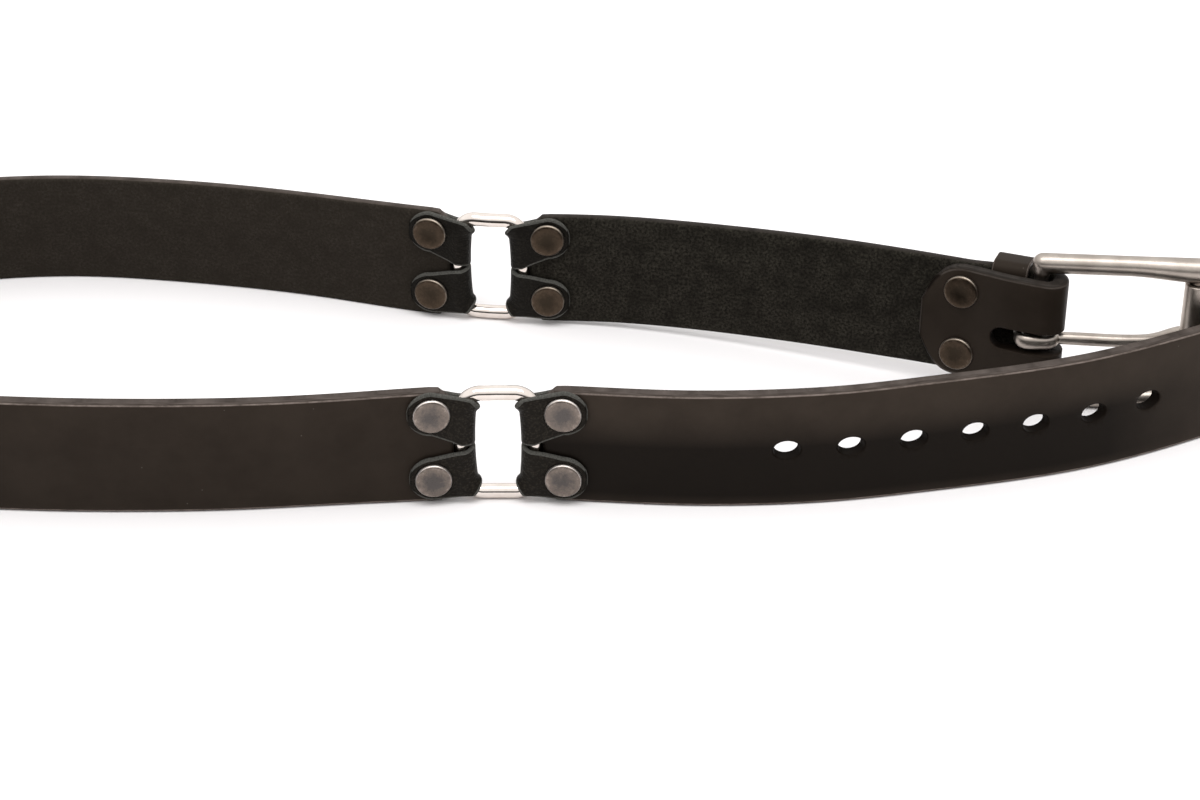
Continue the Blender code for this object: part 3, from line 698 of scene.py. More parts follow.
class NodeSheet:
    """A material's nodes, added and linked one by one."""

    def __init__(self, name: str) -> None:
        """Makes an empty material with a shader and its output.

        Args:
            name: name of the material.
        """
        self.material = bpy.data.materials.new(name)
        self.material.use_nodes = True
        self.tree = self.material.node_tree
        self.tree.nodes.clear()
        self.shader = self.tree.nodes.new("ShaderNodeBsdfPrincipled")
        output = self.tree.nodes.new("ShaderNodeOutputMaterial")
        self.link(self.shader.outputs["BSDF"], output.inputs["Surface"])

    def link(self, start: Socket, end: Socket) -> None:
        """Links two sockets."""
        self.tree.links.new(start, end)

    def set(self, **values: object) -> None:
        """Sets plain values or links on the shader; words are split by underscores.

        Args:
            values: the inputs' names and their values.
        """
        for name, value in values.items():
            socket = self.shader.inputs[name.replace("_", " ")]
            if isinstance(value, Socket):
                self.link(value, socket)
            elif isinstance(value, tuple) and len(value) == 3:
                socket.default_value = (*value, 1.0)
            else:
                socket.default_value = value

    def feed(self, socket: Socket, value: object) -> None:
        """Links a socket to another, or sets its plain value.

        Args:
            socket: the input.
            value: a socket, a number or a colour.
        """
        if isinstance(value, Socket):
            self.link(value, socket)
        elif isinstance(value, tuple) and len(value) == 3 and socket.type == "RGBA":
            socket.default_value = (*value, 1.0)
        else:
            socket.default_value = value

    def surface_map(self, scale: Sequence[float]) -> Socket:
        """The piece's own map, stretched; with scale 1000 a unit is a millimetre.

        Args:
            scale: stretch on each axis.

        Returns:
            The map's place.
        """
        source = self.tree.nodes.new("ShaderNodeUVMap")
        source.uv_map = "belt_map"
        return self.stretched(source.outputs["UV"], scale)

    def object_place(self, scale: Sequence[float]) -> Socket:
        """Object coordinates, stretched; with scale 1000 a unit is a millimetre.

        Args:
            scale: stretch on each axis.

        Returns:
            The place.
        """
        source = self.tree.nodes.new("ShaderNodeTexCoord")
        return self.stretched(source.outputs["Object"], scale)

    def stretched(self, vector: Socket, scale: Sequence[float]) -> Socket:
        """A vector scaled on each axis.

        Args:
            vector: the vector.
            scale: stretch on each axis.

        Returns:
            The scaled vector.
        """
        mapping = self.tree.nodes.new("ShaderNodeMapping")
        mapping.inputs["Scale"].default_value = tuple(scale)
        self.link(vector, mapping.inputs["Vector"])
        return mapping.outputs["Vector"]

    def part(self, vector: Socket, axis: str) -> Socket:
        """One number of a vector: X, Y or Z.

        Args:
            vector: the vector.
            axis: X, Y or Z.

        Returns:
            The number.
        """
        node = self.tree.nodes.new("ShaderNodeSeparateXYZ")
        self.link(vector, node.inputs["Vector"])
        return node.outputs[axis]

    def painted(self, name: str) -> Socket:
        """A number painted on the vertices.

        Args:
            name: name of the attribute.

        Returns:
            The number.
        """
        source = self.tree.nodes.new("ShaderNodeAttribute")
        source.attribute_name = name
        return source.outputs["Fac"]

    def noise(self, vector: Socket, scale: float, detail: float = 3.0, rough: float = 0.55) -> Socket:
        """Soft noise, about 0.5 on average.

        Args:
            vector: the place.
            scale: how many waves in a unit.
            detail: layers of finer waves.
            rough: strength of the finer waves.

        Returns:
            The noise.
        """
        node = self.tree.nodes.new("ShaderNodeTexNoise")
        self.link(vector, node.inputs["Vector"])
        node.inputs["Scale"].default_value = scale
        node.inputs["Detail"].default_value = detail
        node.inputs["Roughness"].default_value = rough
        return node.outputs["Fac"]

    def cells(self, vector: Socket, scale: float) -> Socket:
        """Distance to the nearest of scattered points.

        Args:
            vector: the place.
            scale: how many points in a unit.

        Returns:
            The distance.
        """
        node = self.tree.nodes.new("ShaderNodeTexVoronoi")
        self.link(vector, node.inputs["Vector"])
        node.inputs["Scale"].default_value = scale
        return node.outputs["Distance"]

    def span(
        self, value: Socket, low: float, high: float, to_low: float = 0.0, to_high: float = 1.0
    ) -> Socket:
        """A number mapped from one range to another, kept inside it.

        Args:
            value: the number.
            low: start of its range.
            high: end of its range.
            to_low: what the start becomes.
            to_high: what the end becomes.

        Returns:
            The mapped number.
        """
        node = self.tree.nodes.new("ShaderNodeMapRange")
        self.link(value, node.inputs["Value"])
        for name, number in zip(RANGE_ENDS, (low, high, to_low, to_high)):
            node.inputs[name].default_value = number
        return node.outputs["Result"]

    def sum(self, operation: str, first: object, second: object) -> Socket:
        """One step of arithmetic on two numbers.

        Args:
            operation: the node's operation.
            first: a socket or a number.
            second: a socket or a number.

        Returns:
            The result.
        """
        node = self.tree.nodes.new("ShaderNodeMath")
        node.operation = operation
        self.feed(node.inputs[0], first)
        self.feed(node.inputs[1], second)
        return node.outputs["Value"]

    def blend(self, share: object, first: object, second: object) -> Socket:
        """Two colours mixed by a share.

        Args:
            share: share of the second colour.
            first: a socket or a colour.
            second: a socket or a colour.

        Returns:
            The mixed colour.
        """
        node = self.tree.nodes.new("ShaderNodeMix")
        node.data_type = "RGBA"
        self.feed(node.inputs["Factor"], share)
        sockets = [socket for socket in node.inputs if socket.type == "RGBA"]
        self.feed(sockets[0], first)
        self.feed(sockets[1], second)
        return next(socket for socket in node.outputs if socket.type == "RGBA")

    def bump(self, height: Socket, distance: float, strength: float = 1.0) -> Socket:
        """A normal raised by a height.

        Args:
            height: the height.
            distance: metres for a height of 1.
            strength: how much of it shows.

        Returns:
            The normal.
        """
        node = self.tree.nodes.new("ShaderNodeBump")
        node.inputs["Distance"].default_value = distance
        node.inputs["Strength"].default_value = strength
        self.link(height, node.inputs["Height"])
        return node.outputs["Normal"]


@dataclass(frozen=True)
class StrapFinish:
    """Smooth dyed leather with a fibrous flesh side, a burnished edge, a broken painted highlight on the
    ridges of its eased edges, painted shade on its hole walls and a band of painted shade.
    """

    name: str
    grain_dark: Colour = (0.0205, 0.0150, 0.0112)
    grain_light: Colour = (0.0278, 0.0208, 0.0158)
    flesh_dark: Colour = (0.0195, 0.0160, 0.0124)
    flesh_light: Colour = (0.0440, 0.0370, 0.0300)
    edge_dark: Colour = (0.0360, 0.0285, 0.0245)
    edge_light: Colour = (0.0980, 0.0810, 0.0720)
    # Colour of the painted highlight along the ridges of the eased edges, standing in for light caught on the
    # bevel.
    ridge_highlight: Colour = (0.200, 0.165, 0.146)
    # Near-black painted shade on the walls of the holes.
    bore: Colour = (0.0050, 0.0032, 0.0022)
    scratched: Colour = (0.040, 0.031, 0.025)
    speck: Colour = (0.16, 0.14, 0.12)
    # Colour of the painted shade laid over the lower half of the strap.
    painted_shade: Colour = (0.0022, 0.0016, 0.0012)
    gloss: float = 0.42
    fibre: float = 0.16
    # Strength of the band of painted shade, and the place along the belt where it fades, mm.
    shade_band: float = 0.15
    shade_band_end: float = 985.0

    def make(self) -> bpy.types.Material:
        """Builds the material.

        Returns:
            The material; it reads three numbers painted on the piece: flesh, rim, and the mask of hole walls,
            which get painted shade.
        """
        nodes = NodeSheet(self.name)
        plane = nodes.surface_map((1000, 1000, 1000))
        drawn = nodes.surface_map((40, 900, 1000))
        clouds = nodes.noise(plane, 0.05, 4.0, 0.6)
        pores = nodes.noise(plane, 2.6, 2.0, 0.6)
        rubs = nodes.noise(drawn, 1.4, 4.0, 0.7)
        scratch = nodes.sum("MULTIPLY", nodes.span(rubs, 0.64, 0.74), 0.30)
        grain = nodes.blend(nodes.span(clouds, 0.35, 0.65), self.grain_dark, self.grain_light)
        grain = nodes.blend(scratch, grain, self.scratched)
        grain = nodes.blend(nodes.span(pores, 0.62, 0.78, 0.0, 0.5), grain, self.grain_dark)
        specks = nodes.span(nodes.cells(plane, 0.13), 0.020, 0.035, 0.35, 0.0)
        grain = nodes.blend(specks, grain, self.speck)
        fibres = nodes.noise(plane, 1.1, 5.0, 0.75)
        patches = nodes.span(nodes.noise(plane, 0.16, 3.0, 0.6), 0.3, 0.65, 0.25, 1.0)
        fleck = nodes.sum("MULTIPLY", nodes.span(fibres, 0.40, 0.72), patches)
        flesh = nodes.blend(fleck, self.flesh_dark, self.flesh_light)
        is_flesh = nodes.painted("flesh")
        face = nodes.blend(is_flesh, grain, flesh)
        rim = nodes.painted("rim")
        layers = nodes.noise(nodes.surface_map((120, 2500, 1000)), 1.0, 3.0, 0.6)
        edge = nodes.blend(nodes.span(layers, 0.35, 0.7), self.edge_dark, self.edge_light)
        # Painted highlight along the ridge of the eased edge, broken up by noise that also roughens the edge,
        # and fainter on the flesh side.
        edge_wear_and_highlight = nodes.noise(nodes.surface_map((260, 700, 1000)), 0.9, 4.0, 0.7)
        on_ridge_highlight = nodes.sum("MULTIPLY", nodes.span(rim, 0.01, 0.05), nodes.span(rim, 0.20, 0.13))
        on_ridge_highlight = nodes.sum("MULTIPLY", on_ridge_highlight, nodes.span(edge_wear_and_highlight, 0.30, 0.62, 0.20, 1.0))
        on_ridge_highlight = nodes.sum("MULTIPLY", on_ridge_highlight, nodes.span(is_flesh, 0.0, 1.0, 1.0, 0.25))
        # Painted shade: a dark band over the lower half of the strap, strongest 4 to 20 mm up and gone by 35
        # mm, weakening to a quarter past a place along the belt.
        across = nodes.part(plane, "Y")
        band = nodes.sum("MULTIPLY", nodes.span(across, -8.0, 4.0), nodes.span(across, 35.0, 20.0))
        reach = nodes.span(nodes.part(plane, "X"), self.shade_band_end + 28, self.shade_band_end - 28, 0.25, 1.0)
        band = nodes.sum("MULTIPLY", band, reach)
        band = nodes.sum("MULTIPLY", nodes.sum("MULTIPLY", band, band), self.shade_band)
        face = nodes.blend(band, face, self.painted_shade)
        colour = nodes.blend(nodes.span(rim, 0.12, 0.30), face, edge)
        colour = nodes.blend(on_ridge_highlight, colour, self.ridge_highlight)
        # Painted shade: the hole walls near black.
        colour = nodes.blend(nodes.painted("bore"), colour, self.bore)
        shine = nodes.span(clouds, 0.3, 0.7, self.gloss - 0.05, self.gloss + 0.08)
        matte = nodes.sum("MULTIPLY", is_flesh, 0.34)
        height = nodes.sum("MULTIPLY", fibres, nodes.sum("MULTIPLY", is_flesh, self.fibre))
        height = nodes.sum("ADD", height, nodes.sum("MULTIPLY", pores, 0.022))
        height = nodes.sum("ADD", height, nodes.sum("MULTIPLY", rubs, 0.012))
        height = nodes.sum("ADD", height, nodes.sum("MULTIPLY", nodes.sum("MULTIPLY", edge_wear_and_highlight, rim), 0.10))
        nodes.set(
            Base_Color=colour,
            Roughness=nodes.sum("MINIMUM", nodes.sum("ADD", shine, matte), 0.90),
            Specular_IOR_Level=0.08,
            Specular_Tint=(1.0, 0.88, 0.78),
            Normal=nodes.bump(height, MM),
        )
        return nodes.material


@dataclass(frozen=True)
class TabFinish:
    """Thin pebbled leather with fuzzy cut edges."""

    name: str
    dark: Colour = (0.0046, 0.0038, 0.0028)
    light: Colour = (0.0195, 0.0165, 0.0125)
    cut_dark: Colour = (0.0300, 0.0300, 0.0270)
    cut_light: Colour = (0.1150, 0.1130, 0.1030)
    pebble: float = 0.16

    def make(self) -> bpy.types.Material:
        """Builds the material.

        Returns:
            The material; it reads the number cut painted on the piece.
        """
        nodes = NodeSheet(self.name)
        plane = nodes.surface_map((1000, 1000, 1000))
        pebbles = nodes.cells(plane, 1.35)
        fine = nodes.noise(plane, 3.6, 3.0, 0.65)
        creases = nodes.noise(nodes.surface_map((900, 260, 1000)), 0.7, 4.0, 0.7)
        clouds = nodes.noise(plane, 0.18, 3.0, 0.6)
        share = nodes.sum("MULTIPLY", pebbles, nodes.span(clouds, 0.3, 0.7, 0.6, 1.4))
        face = nodes.blend(nodes.span(share, 0.10, 0.55), self.light, self.dark)
        fuzz = nodes.noise(plane, 2.2, 4.0, 0.8)
        rim = nodes.blend(nodes.span(fuzz, 0.34, 0.66), self.cut_dark, self.cut_light)
        is_cut = nodes.painted("cut")
        height = nodes.sum("MULTIPLY", pebbles, -self.pebble)
        height = nodes.sum("ADD", height, nodes.sum("MULTIPLY", fine, 0.06))
        height = nodes.sum("ADD", height, nodes.sum("MULTIPLY", creases, 0.12))
        height = nodes.sum("ADD", height, nodes.sum("MULTIPLY", nodes.sum("MULTIPLY", fuzz, is_cut), 0.22))
        nodes.set(
            Base_Color=nodes.blend(is_cut, face, rim),
            Roughness=nodes.span(is_cut, 0.0, 1.0, 0.50, 0.90),
            Specular_IOR_Level=0.13,
            Specular_Tint=(1.0, 0.90, 0.80),
            Normal=nodes.bump(height, MM),
        )
        return nodes.material


@dataclass(frozen=True)
class RivetFinish:
    """Aged metal, dark in its dish and rubbed bright on its rim."""

    name: str
    centre: Colour = (0.092, 0.083, 0.079)
    brown: Colour = (0.178, 0.148, 0.128)
    rim: Colour = (0.320, 0.270, 0.238)
    lip: Colour = (0.80, 0.74, 0.70)
    pitted: Colour = (0.026, 0.020, 0.017)

    def make(self) -> bpy.types.Material:
        """Builds the material.

        Returns:
            The material; it reads the number rim painted on the piece.
        """
        nodes = NodeSheet(self.name)
        place = nodes.object_place((1000, 1000, 1000))
        clouds = nodes.noise(place, 0.32, 4.0, 0.65)
        fine = nodes.noise(place, 2.8, 3.0, 0.7)
        blots = nodes.noise(place, 0.75, 5.0, 0.75)
        reach = nodes.sum("ADD", nodes.painted("rim"), nodes.span(clouds, 0.2, 0.8, -0.30, 0.30))
        reach = nodes.sum("ADD", reach, nodes.span(blots, 0.25, 0.75, -0.28, 0.28))
        colour = nodes.blend(nodes.span(reach, 0.30, 0.85), self.centre, self.brown)
        colour = nodes.blend(nodes.span(reach, 0.86, 1.12), colour, self.rim)
        colour = nodes.blend(nodes.span(fine, 0.55, 0.75, 0.0, 0.55), colour, self.pitted)
        colour = nodes.blend(nodes.span(nodes.painted("rim"), 0.935, 0.985), colour, self.lip)
        relief = nodes.sum("ADD", nodes.sum("MULTIPLY", fine, 0.012), nodes.sum("MULTIPLY", clouds, 0.05))
        nodes.set(
            Base_Color=colour,
            Metallic=1.0,
            Roughness=nodes.span(clouds, 0.25, 0.75, 0.30, 0.44),
            Normal=nodes.bump(relief, MM),
        )
        return nodes.material


@dataclass(frozen=True)
class PlateFinish:
    """Plated metal: polished on the rings, satin and lightly tarnished on the buckle."""

    name: str
    bright: Colour
    dull: Colour
    tarnish: Colour
    smooth: float
    rough: float
    specks: float

    def make(self) -> bpy.types.Material:
        """Builds the material.

        Returns:
            The material.
        """
        nodes = NodeSheet(self.name)
        place = nodes.object_place((1000, 1000, 1000))
        clouds = nodes.noise(place, 0.14, 4.0, 0.6)
        fine = nodes.noise(place, 1.7, 4.0, 0.75)
        colour = nodes.blend(nodes.span(clouds, 0.35, 0.65), self.bright, self.dull)
        spots = nodes.span(fine, 0.60, 0.70, 0.0, self.specks)
        colour = nodes.blend(spots, colour, self.tarnish)
        nodes.set(
            Base_Color=colour,
            Metallic=1.0,
            Roughness=nodes.span(fine, 0.3, 0.7, self.smooth, self.rough),
            Normal=nodes.bump(fine, MM, 0.012),
        )
        return nodes.material


# Leather


@dataclass
class StrapSet:
    """The belt's three lengths of strap."""

    route: BeltRoute
    corner_long: float = 4.0 * MM
    corner_high: float = 4.0 * MM
    edge: float = 1.15 * MM
    column: float = 2.6 * MM
    rows: int = 16
    tip_steps: int = 24
    tip_columns: int = 12
    tip_long: float = 30.0 * MM
    tip_blunt: float = 0.16
    tip_turn: float = 5.0 * MM
    hole_count: int = 7
    hole_pitch: float = 19.0 * MM
    ring_to_hole: float = 84.4 * MM
    hole_long: float = 8.2 * MM
    hole_high: float = 6.0 * MM
    hole_rim: float = 0.35 * MM
    flap_long: float = 39.4 * MM
    flap_cut_long: float = 14.5 * MM
    flap_cut_high: float = 13.5 * MM
    flap_cut_bow: float = 3.0
    fold_fill: float = 1.5 * MM
    fold_skive: float = 18.0 * MM
    flap_rivet_at: float = 26.4 * MM
    flap_rivet_up: float = 10.9 * MM
    slot_reach: float = 15.8 * MM
    slot_high: float = 7.0 * MM
    slot_middle: float = 16.9 * MM
    corner_ease: float = 0.10
    punch_depth: float = 4 * BELT.thickness
    fine_column: float = 1.0 * MM
    round_column: float = 0.7 * MM
    # Walls this near the middle and this far from the ends belong to holes.
    wall_band: float = 15.0 * MM
    end_clear: float = 1.4 * MM
    tip_clear: float = 9.0 * MM
    # Walls this near the middle and this near an end face a ring.
    end_band: float = 12.0 * MM
    end_wall: float = 1.5 * MM

    def places(self, start: float, end: float, keep: Sequence[float] = (), step: float = 0.0) -> list[float]:
        """Column places from start to end.

        Args:
            start: the first place.
            end: the last place.
            keep: places that must be among them.
            step: about how far apart; 0 is the usual step.

        Returns:
            The places, rising.
        """
        fixed = sorted({start, end, *keep})
        found = [fixed[0]]
        for low, high in zip(fixed, fixed[1:]):
            count = max(1, round((high - low) / (step or self.column)))
            found += [low + (high - low) * i / count for i in range(1, count + 1)]
        return found

    def cut_corner(self, distance: float, long: float, high: float) -> float:
        """Half width at a distance from an end whose corners are cut off and slightly eased."""
        share = 1 - distance / long
        return BELT.middle - high * (share + math.sqrt(share**2 + self.corner_ease**2)) / 2

    def tip_half(self, distance: float) -> float:
        """Half width near the rounded tip, at a distance from it."""
        share = min(1.0, max(0.0, distance) / self.tip_long)
        return BELT.middle * (self.tip_blunt + (1 - self.tip_blunt) * math.sqrt(1 - (1 - share) ** 2))

    def tip_outline(self, distance: float) -> Profile:
        """The tip's edge from a distance above its middle round to the same below.

        Args:
            distance: how far from the tip the edge starts.

        Returns:
            Points (distance from the tip, height from the middle).
        """
        reaches = [distance * (1 - i / self.tip_steps) ** 2 for i in range(self.tip_steps + 1)]
        upper = [(reach, self.tip_half(reach)) for reach in reaches]
        return upper + [(0.0, 0.0)] + [(d, -h) for d, h in reversed(upper)]

    def blank(self, name: str, places: Sequence[float], half: Callable[[float], float]) -> bpy.types.Object:
        """A flat strap on its edge, with rounded edges and no holes yet.

        Args:
            name: name of the piece.
            places: its columns.
            half: half width at a place.

        Returns:
            The strap.
        """

        def place(column: int, row: int) -> Spot:
            """Corner of the strap's middle sheet."""
            x = places[column]
            return x, 0.0, BELT.middle + (2 * row / self.rows - 1) * half(x)

        return self.walled(sheet(name, len(places) - 1, self.rows, place))

    def walled(self, strap: bpy.types.Object) -> bpy.types.Object:
        """Gives a strap's sheet its thickness and its rounded edges, and returns it."""
        thicken(strap, BELT.thickness, self.edge, 60)
        return strap

    def ring_rivet_punches(self, ring_at: float, side: RingSide) -> list[bpy.types.Object]:
        """Punches for the two rivet holes beside a ring.

        Args:
            ring_at: place of the ring along the belt.
            side: side of the ring.

        Returns:
            The two punches.
        """
        x = ring_at + side.value * BELT.rivet_to_ring
        spots = [(x, 0.0, BELT.rivets_middle + level.value * BELT.rivet_up) for level in Level]
        return [round_punch(spot, BELT.rivet_hole, self.punch_depth, RIVET_PUNCH_SIDES) for spot in spots]

    def dress(
        self, strap: bpy.types.Object, moves: Sequence[Move], finish: bpy.types.Material, node: str
    ) -> None:
        """Paints, maps and places a strap.

        Args:
            strap: the flat strap with its holes.
            moves: the moves that carry it.
            finish: its material.
            node: the CAD node that it stands for.
        """
        add_modifier(strap, "TRIANGULATE", min_vertices=5)
        apply_modifiers(strap)
        points = read_points(strap)
        half = BELT.thickness / 2
        off_middle = np.abs(points[:, 2] - BELT.middle)
        inside = (np.abs(points[:, 1]) < half - 0.02 * MM) & (off_middle < self.wall_band)
        low_end = points[:, 0].min()
        high_end = points[:, 0].max() - self.tip_clear * (node == "billet_strap")
        clear = np.minimum(points[:, 0] - low_end, high_end - points[:, 0])
        # Walls of holes get painted shade in the finish.
        bore = inside & (clear > self.end_clear)
        paint(strap, "bore", bore.astype(float))
        flesh = points[:, 1] < 0
        paint(strap, "flesh", flesh.astype(float))
        rim = np.clip((half - np.abs(points[:, 1])) / self.edge - 0.55 * flesh, 0.0, 1.0)
        ring_end = (clear < self.end_wall) & (off_middle < self.end_band)
        paint(strap, "rim", np.where(bore | (ring_end & (node != "buckle_strap")), 0.0, rim))
        lay_map(strap, points[:, 0], points[:, 2])
        settle(strap, moves, finish, "belt", node, Slot.STRAP, 50.0, True)

    def make_billet(self, finish: bpy.types.Material) -> None:
        """The free end, with its prong holes and rounded tip.

        Args:
            finish: its material.
        """
        start = BELT.front_ring_at + BELT.ring_to_strap
        turn_at = BELT.tip_at - self.tip_long
        body = self.places(start, turn_at, (start + self.corner_long,))
        columns = len(body) - 1
        end_line = self.tip_outline(self.tip_turn)
        steps = np.concatenate([[0.0], np.cumsum([math.dist(a, b) for a, b in zip(end_line, end_line[1:])])])

        def half(x: float) -> float:
            """Half width of the strap's straight part."""
            return self.cut_corner(x - start, self.corner_long, self.corner_high)

        def tip_corner(s: float, v: float) -> tuple[float, float]:
            """A point of the tip's patch, as (distance from the tip, height).

            Args:
                s: share of the way to the tip.
                v: share of the way from the bottom edge to the top.

            Returns:
                Distance from the tip and height from the middle.
            """
            reach = self.tip_long + (self.tip_turn - self.tip_long) * s
            side = self.tip_half(reach)
            want = (1 - v) * steps[-1]
            end = np.array([np.interp(want, steps, [p[i] for p in end_line]) for i in (0, 1)])
            line = np.array([self.tip_long, (2 * v - 1) * BELT.middle])
            ends = np.array([reach, (2 * v - 1) * side])
            corner_low = np.array([self.tip_turn, -self.tip_half(self.tip_turn)])
            corner_high = np.array([self.tip_turn, self.tip_half(self.tip_turn)])
            start_low = np.array([self.tip_long, -BELT.middle])
            start_high = np.array([self.tip_long, BELT.middle])
            straight = (1 - s) * (1 - v) * start_low + s * (1 - v) * corner_low
            straight = straight + (1 - s) * v * start_high + s * v * corner_high
            point = (1 - s) * line + s * end + ends - straight
            return float(point[0]), float(point[1])

        def place(column: int, row: int) -> Spot:
            """Corner of the strap's middle sheet.

            Args:
                column: the corner's column.
                row: the corner's row.

            Returns:
                The flat-belt point.
            """
            if column <= columns:
                x = body[column]
                return x, 0.0, BELT.middle + (2 * row / self.rows - 1) * half(x)
            distance, height = tip_corner((column - columns) / self.tip_columns, row / self.rows)
            return BELT.tip_at - distance, 0.0, BELT.middle + height

        strap = self.walled(sheet("billet_strap_leather", columns + self.tip_columns, self.rows, place))
        punches = self.ring_rivet_punches(BELT.front_ring_at, RingSide.AFTER)
        for i in range(self.hole_count):
            x = BELT.front_ring_at + self.ring_to_hole + i * self.hole_pitch
            spot = (x, 0.0, BELT.middle)
            punches.append(long_punch(spot, self.hole_long, self.hole_high, self.hole_rim, Outline.OVAL))
        cut_away(strap, punches)
        self.dress(strap, [self.route.bend], finish, "billet_strap")

    def make_back(self, finish: bpy.types.Material) -> None:
        """The middle length between the rings.

        Args:
            finish: its material.
        """
        start = BELT.back_ring_at + BELT.ring_to_strap
        end = BELT.front_ring_at - BELT.ring_to_strap

        def half(x: float) -> float:
            """Half width of the strap."""
            return self.cut_corner(min(x - start, end - x), self.corner_long, self.corner_high)

        places = self.places(start, end, (start + self.corner_long, end - self.corner_long))
        strap = self.blank("back_strap_leather", places, half)
        punches = self.ring_rivet_punches(BELT.back_ring_at, RingSide.AFTER)
        cut_away(strap, punches + self.ring_rivet_punches(BELT.front_ring_at, RingSide.BEFORE))
        self.dress(strap, [self.route.bend], finish, "back_strap")

    def fill_fold(self, points: np.ndarray) -> np.ndarray:
        """Thins the folded leather's flesh side where it lies shut, and fills it inside the bend.

        Args:
            points: one row (along, out, up) for each point of the flat strap.

        Returns:
            The same rows, moved in or out.
        """
        angle = np.clip(-points[:, 0] / BELT.fold_bend, 0.0, math.pi)
        inner = np.clip(0.5 - points[:, 1] / BELT.thickness, 0.0, 1.0)
        pressed = (BELT.thickness - BELT.layer_step) / 2 + 0.02 * MM
        shut = 1 - smoothstep((points[:, 0] - self.flap_long) / self.fold_skive)
        move = inner * (pressed * shut - self.fold_fill * np.sin(angle))
        return points + np.column_stack([0 * angle, move, 0 * angle])

    def make_buckle_length(self, finish: bpy.types.Material) -> None:
        """The length that folds round the heel bar.

        Args:
            finish: its material.
        """
        arc = BELT.fold_arc
        flap_end = -(arc + self.flap_long)
        end = BELT.back_ring_at - BELT.ring_to_strap

        def half(x: float) -> float:
            """Half width of the strap.

            Args:
                x: place along the belt.

            Returns:
                The half width.
            """
            share = max(0.0, 1 - (x - flap_end) / self.flap_cut_long)
            flap = BELT.middle - self.flap_cut_high * share**self.flap_cut_bow
            return min(flap, self.cut_corner(end - x, self.corner_long, self.corner_high))

        fine = self.places(-arc - FOLD.reach, FOLD.reach, (-arc, 0.0), self.fine_column)
        round_cut = self.places(flap_end, flap_end + self.flap_cut_long, (), self.round_column)
        places = self.places(flap_end, end, (*round_cut, end - self.corner_long, *fine))
        strap = self.blank("buckle_strap_leather", places, half)
        punches = self.ring_rivet_punches(BELT.back_ring_at, RingSide.BEFORE)
        for x in (self.flap_rivet_at, -arc - self.flap_rivet_at):
            for level in Level:
                spot = (x, 0.0, BELT.middle + level.value * self.flap_rivet_up)
                punches.append(round_punch(spot, BELT.rivet_hole, self.punch_depth, RIVET_PUNCH_SIDES))
        slot_at = (-arc / 2, 0.0, self.slot_middle)
        slot_long = arc + 2 * self.slot_reach
        punches.append(long_punch(slot_at, slot_long, self.slot_high, self.hole_rim, Outline.OBLONG))
        cut_away(strap, punches)
        self.dress(strap, [self.fill_fold, FOLD.carry, self.route.bend], finish, "buckle_strap")


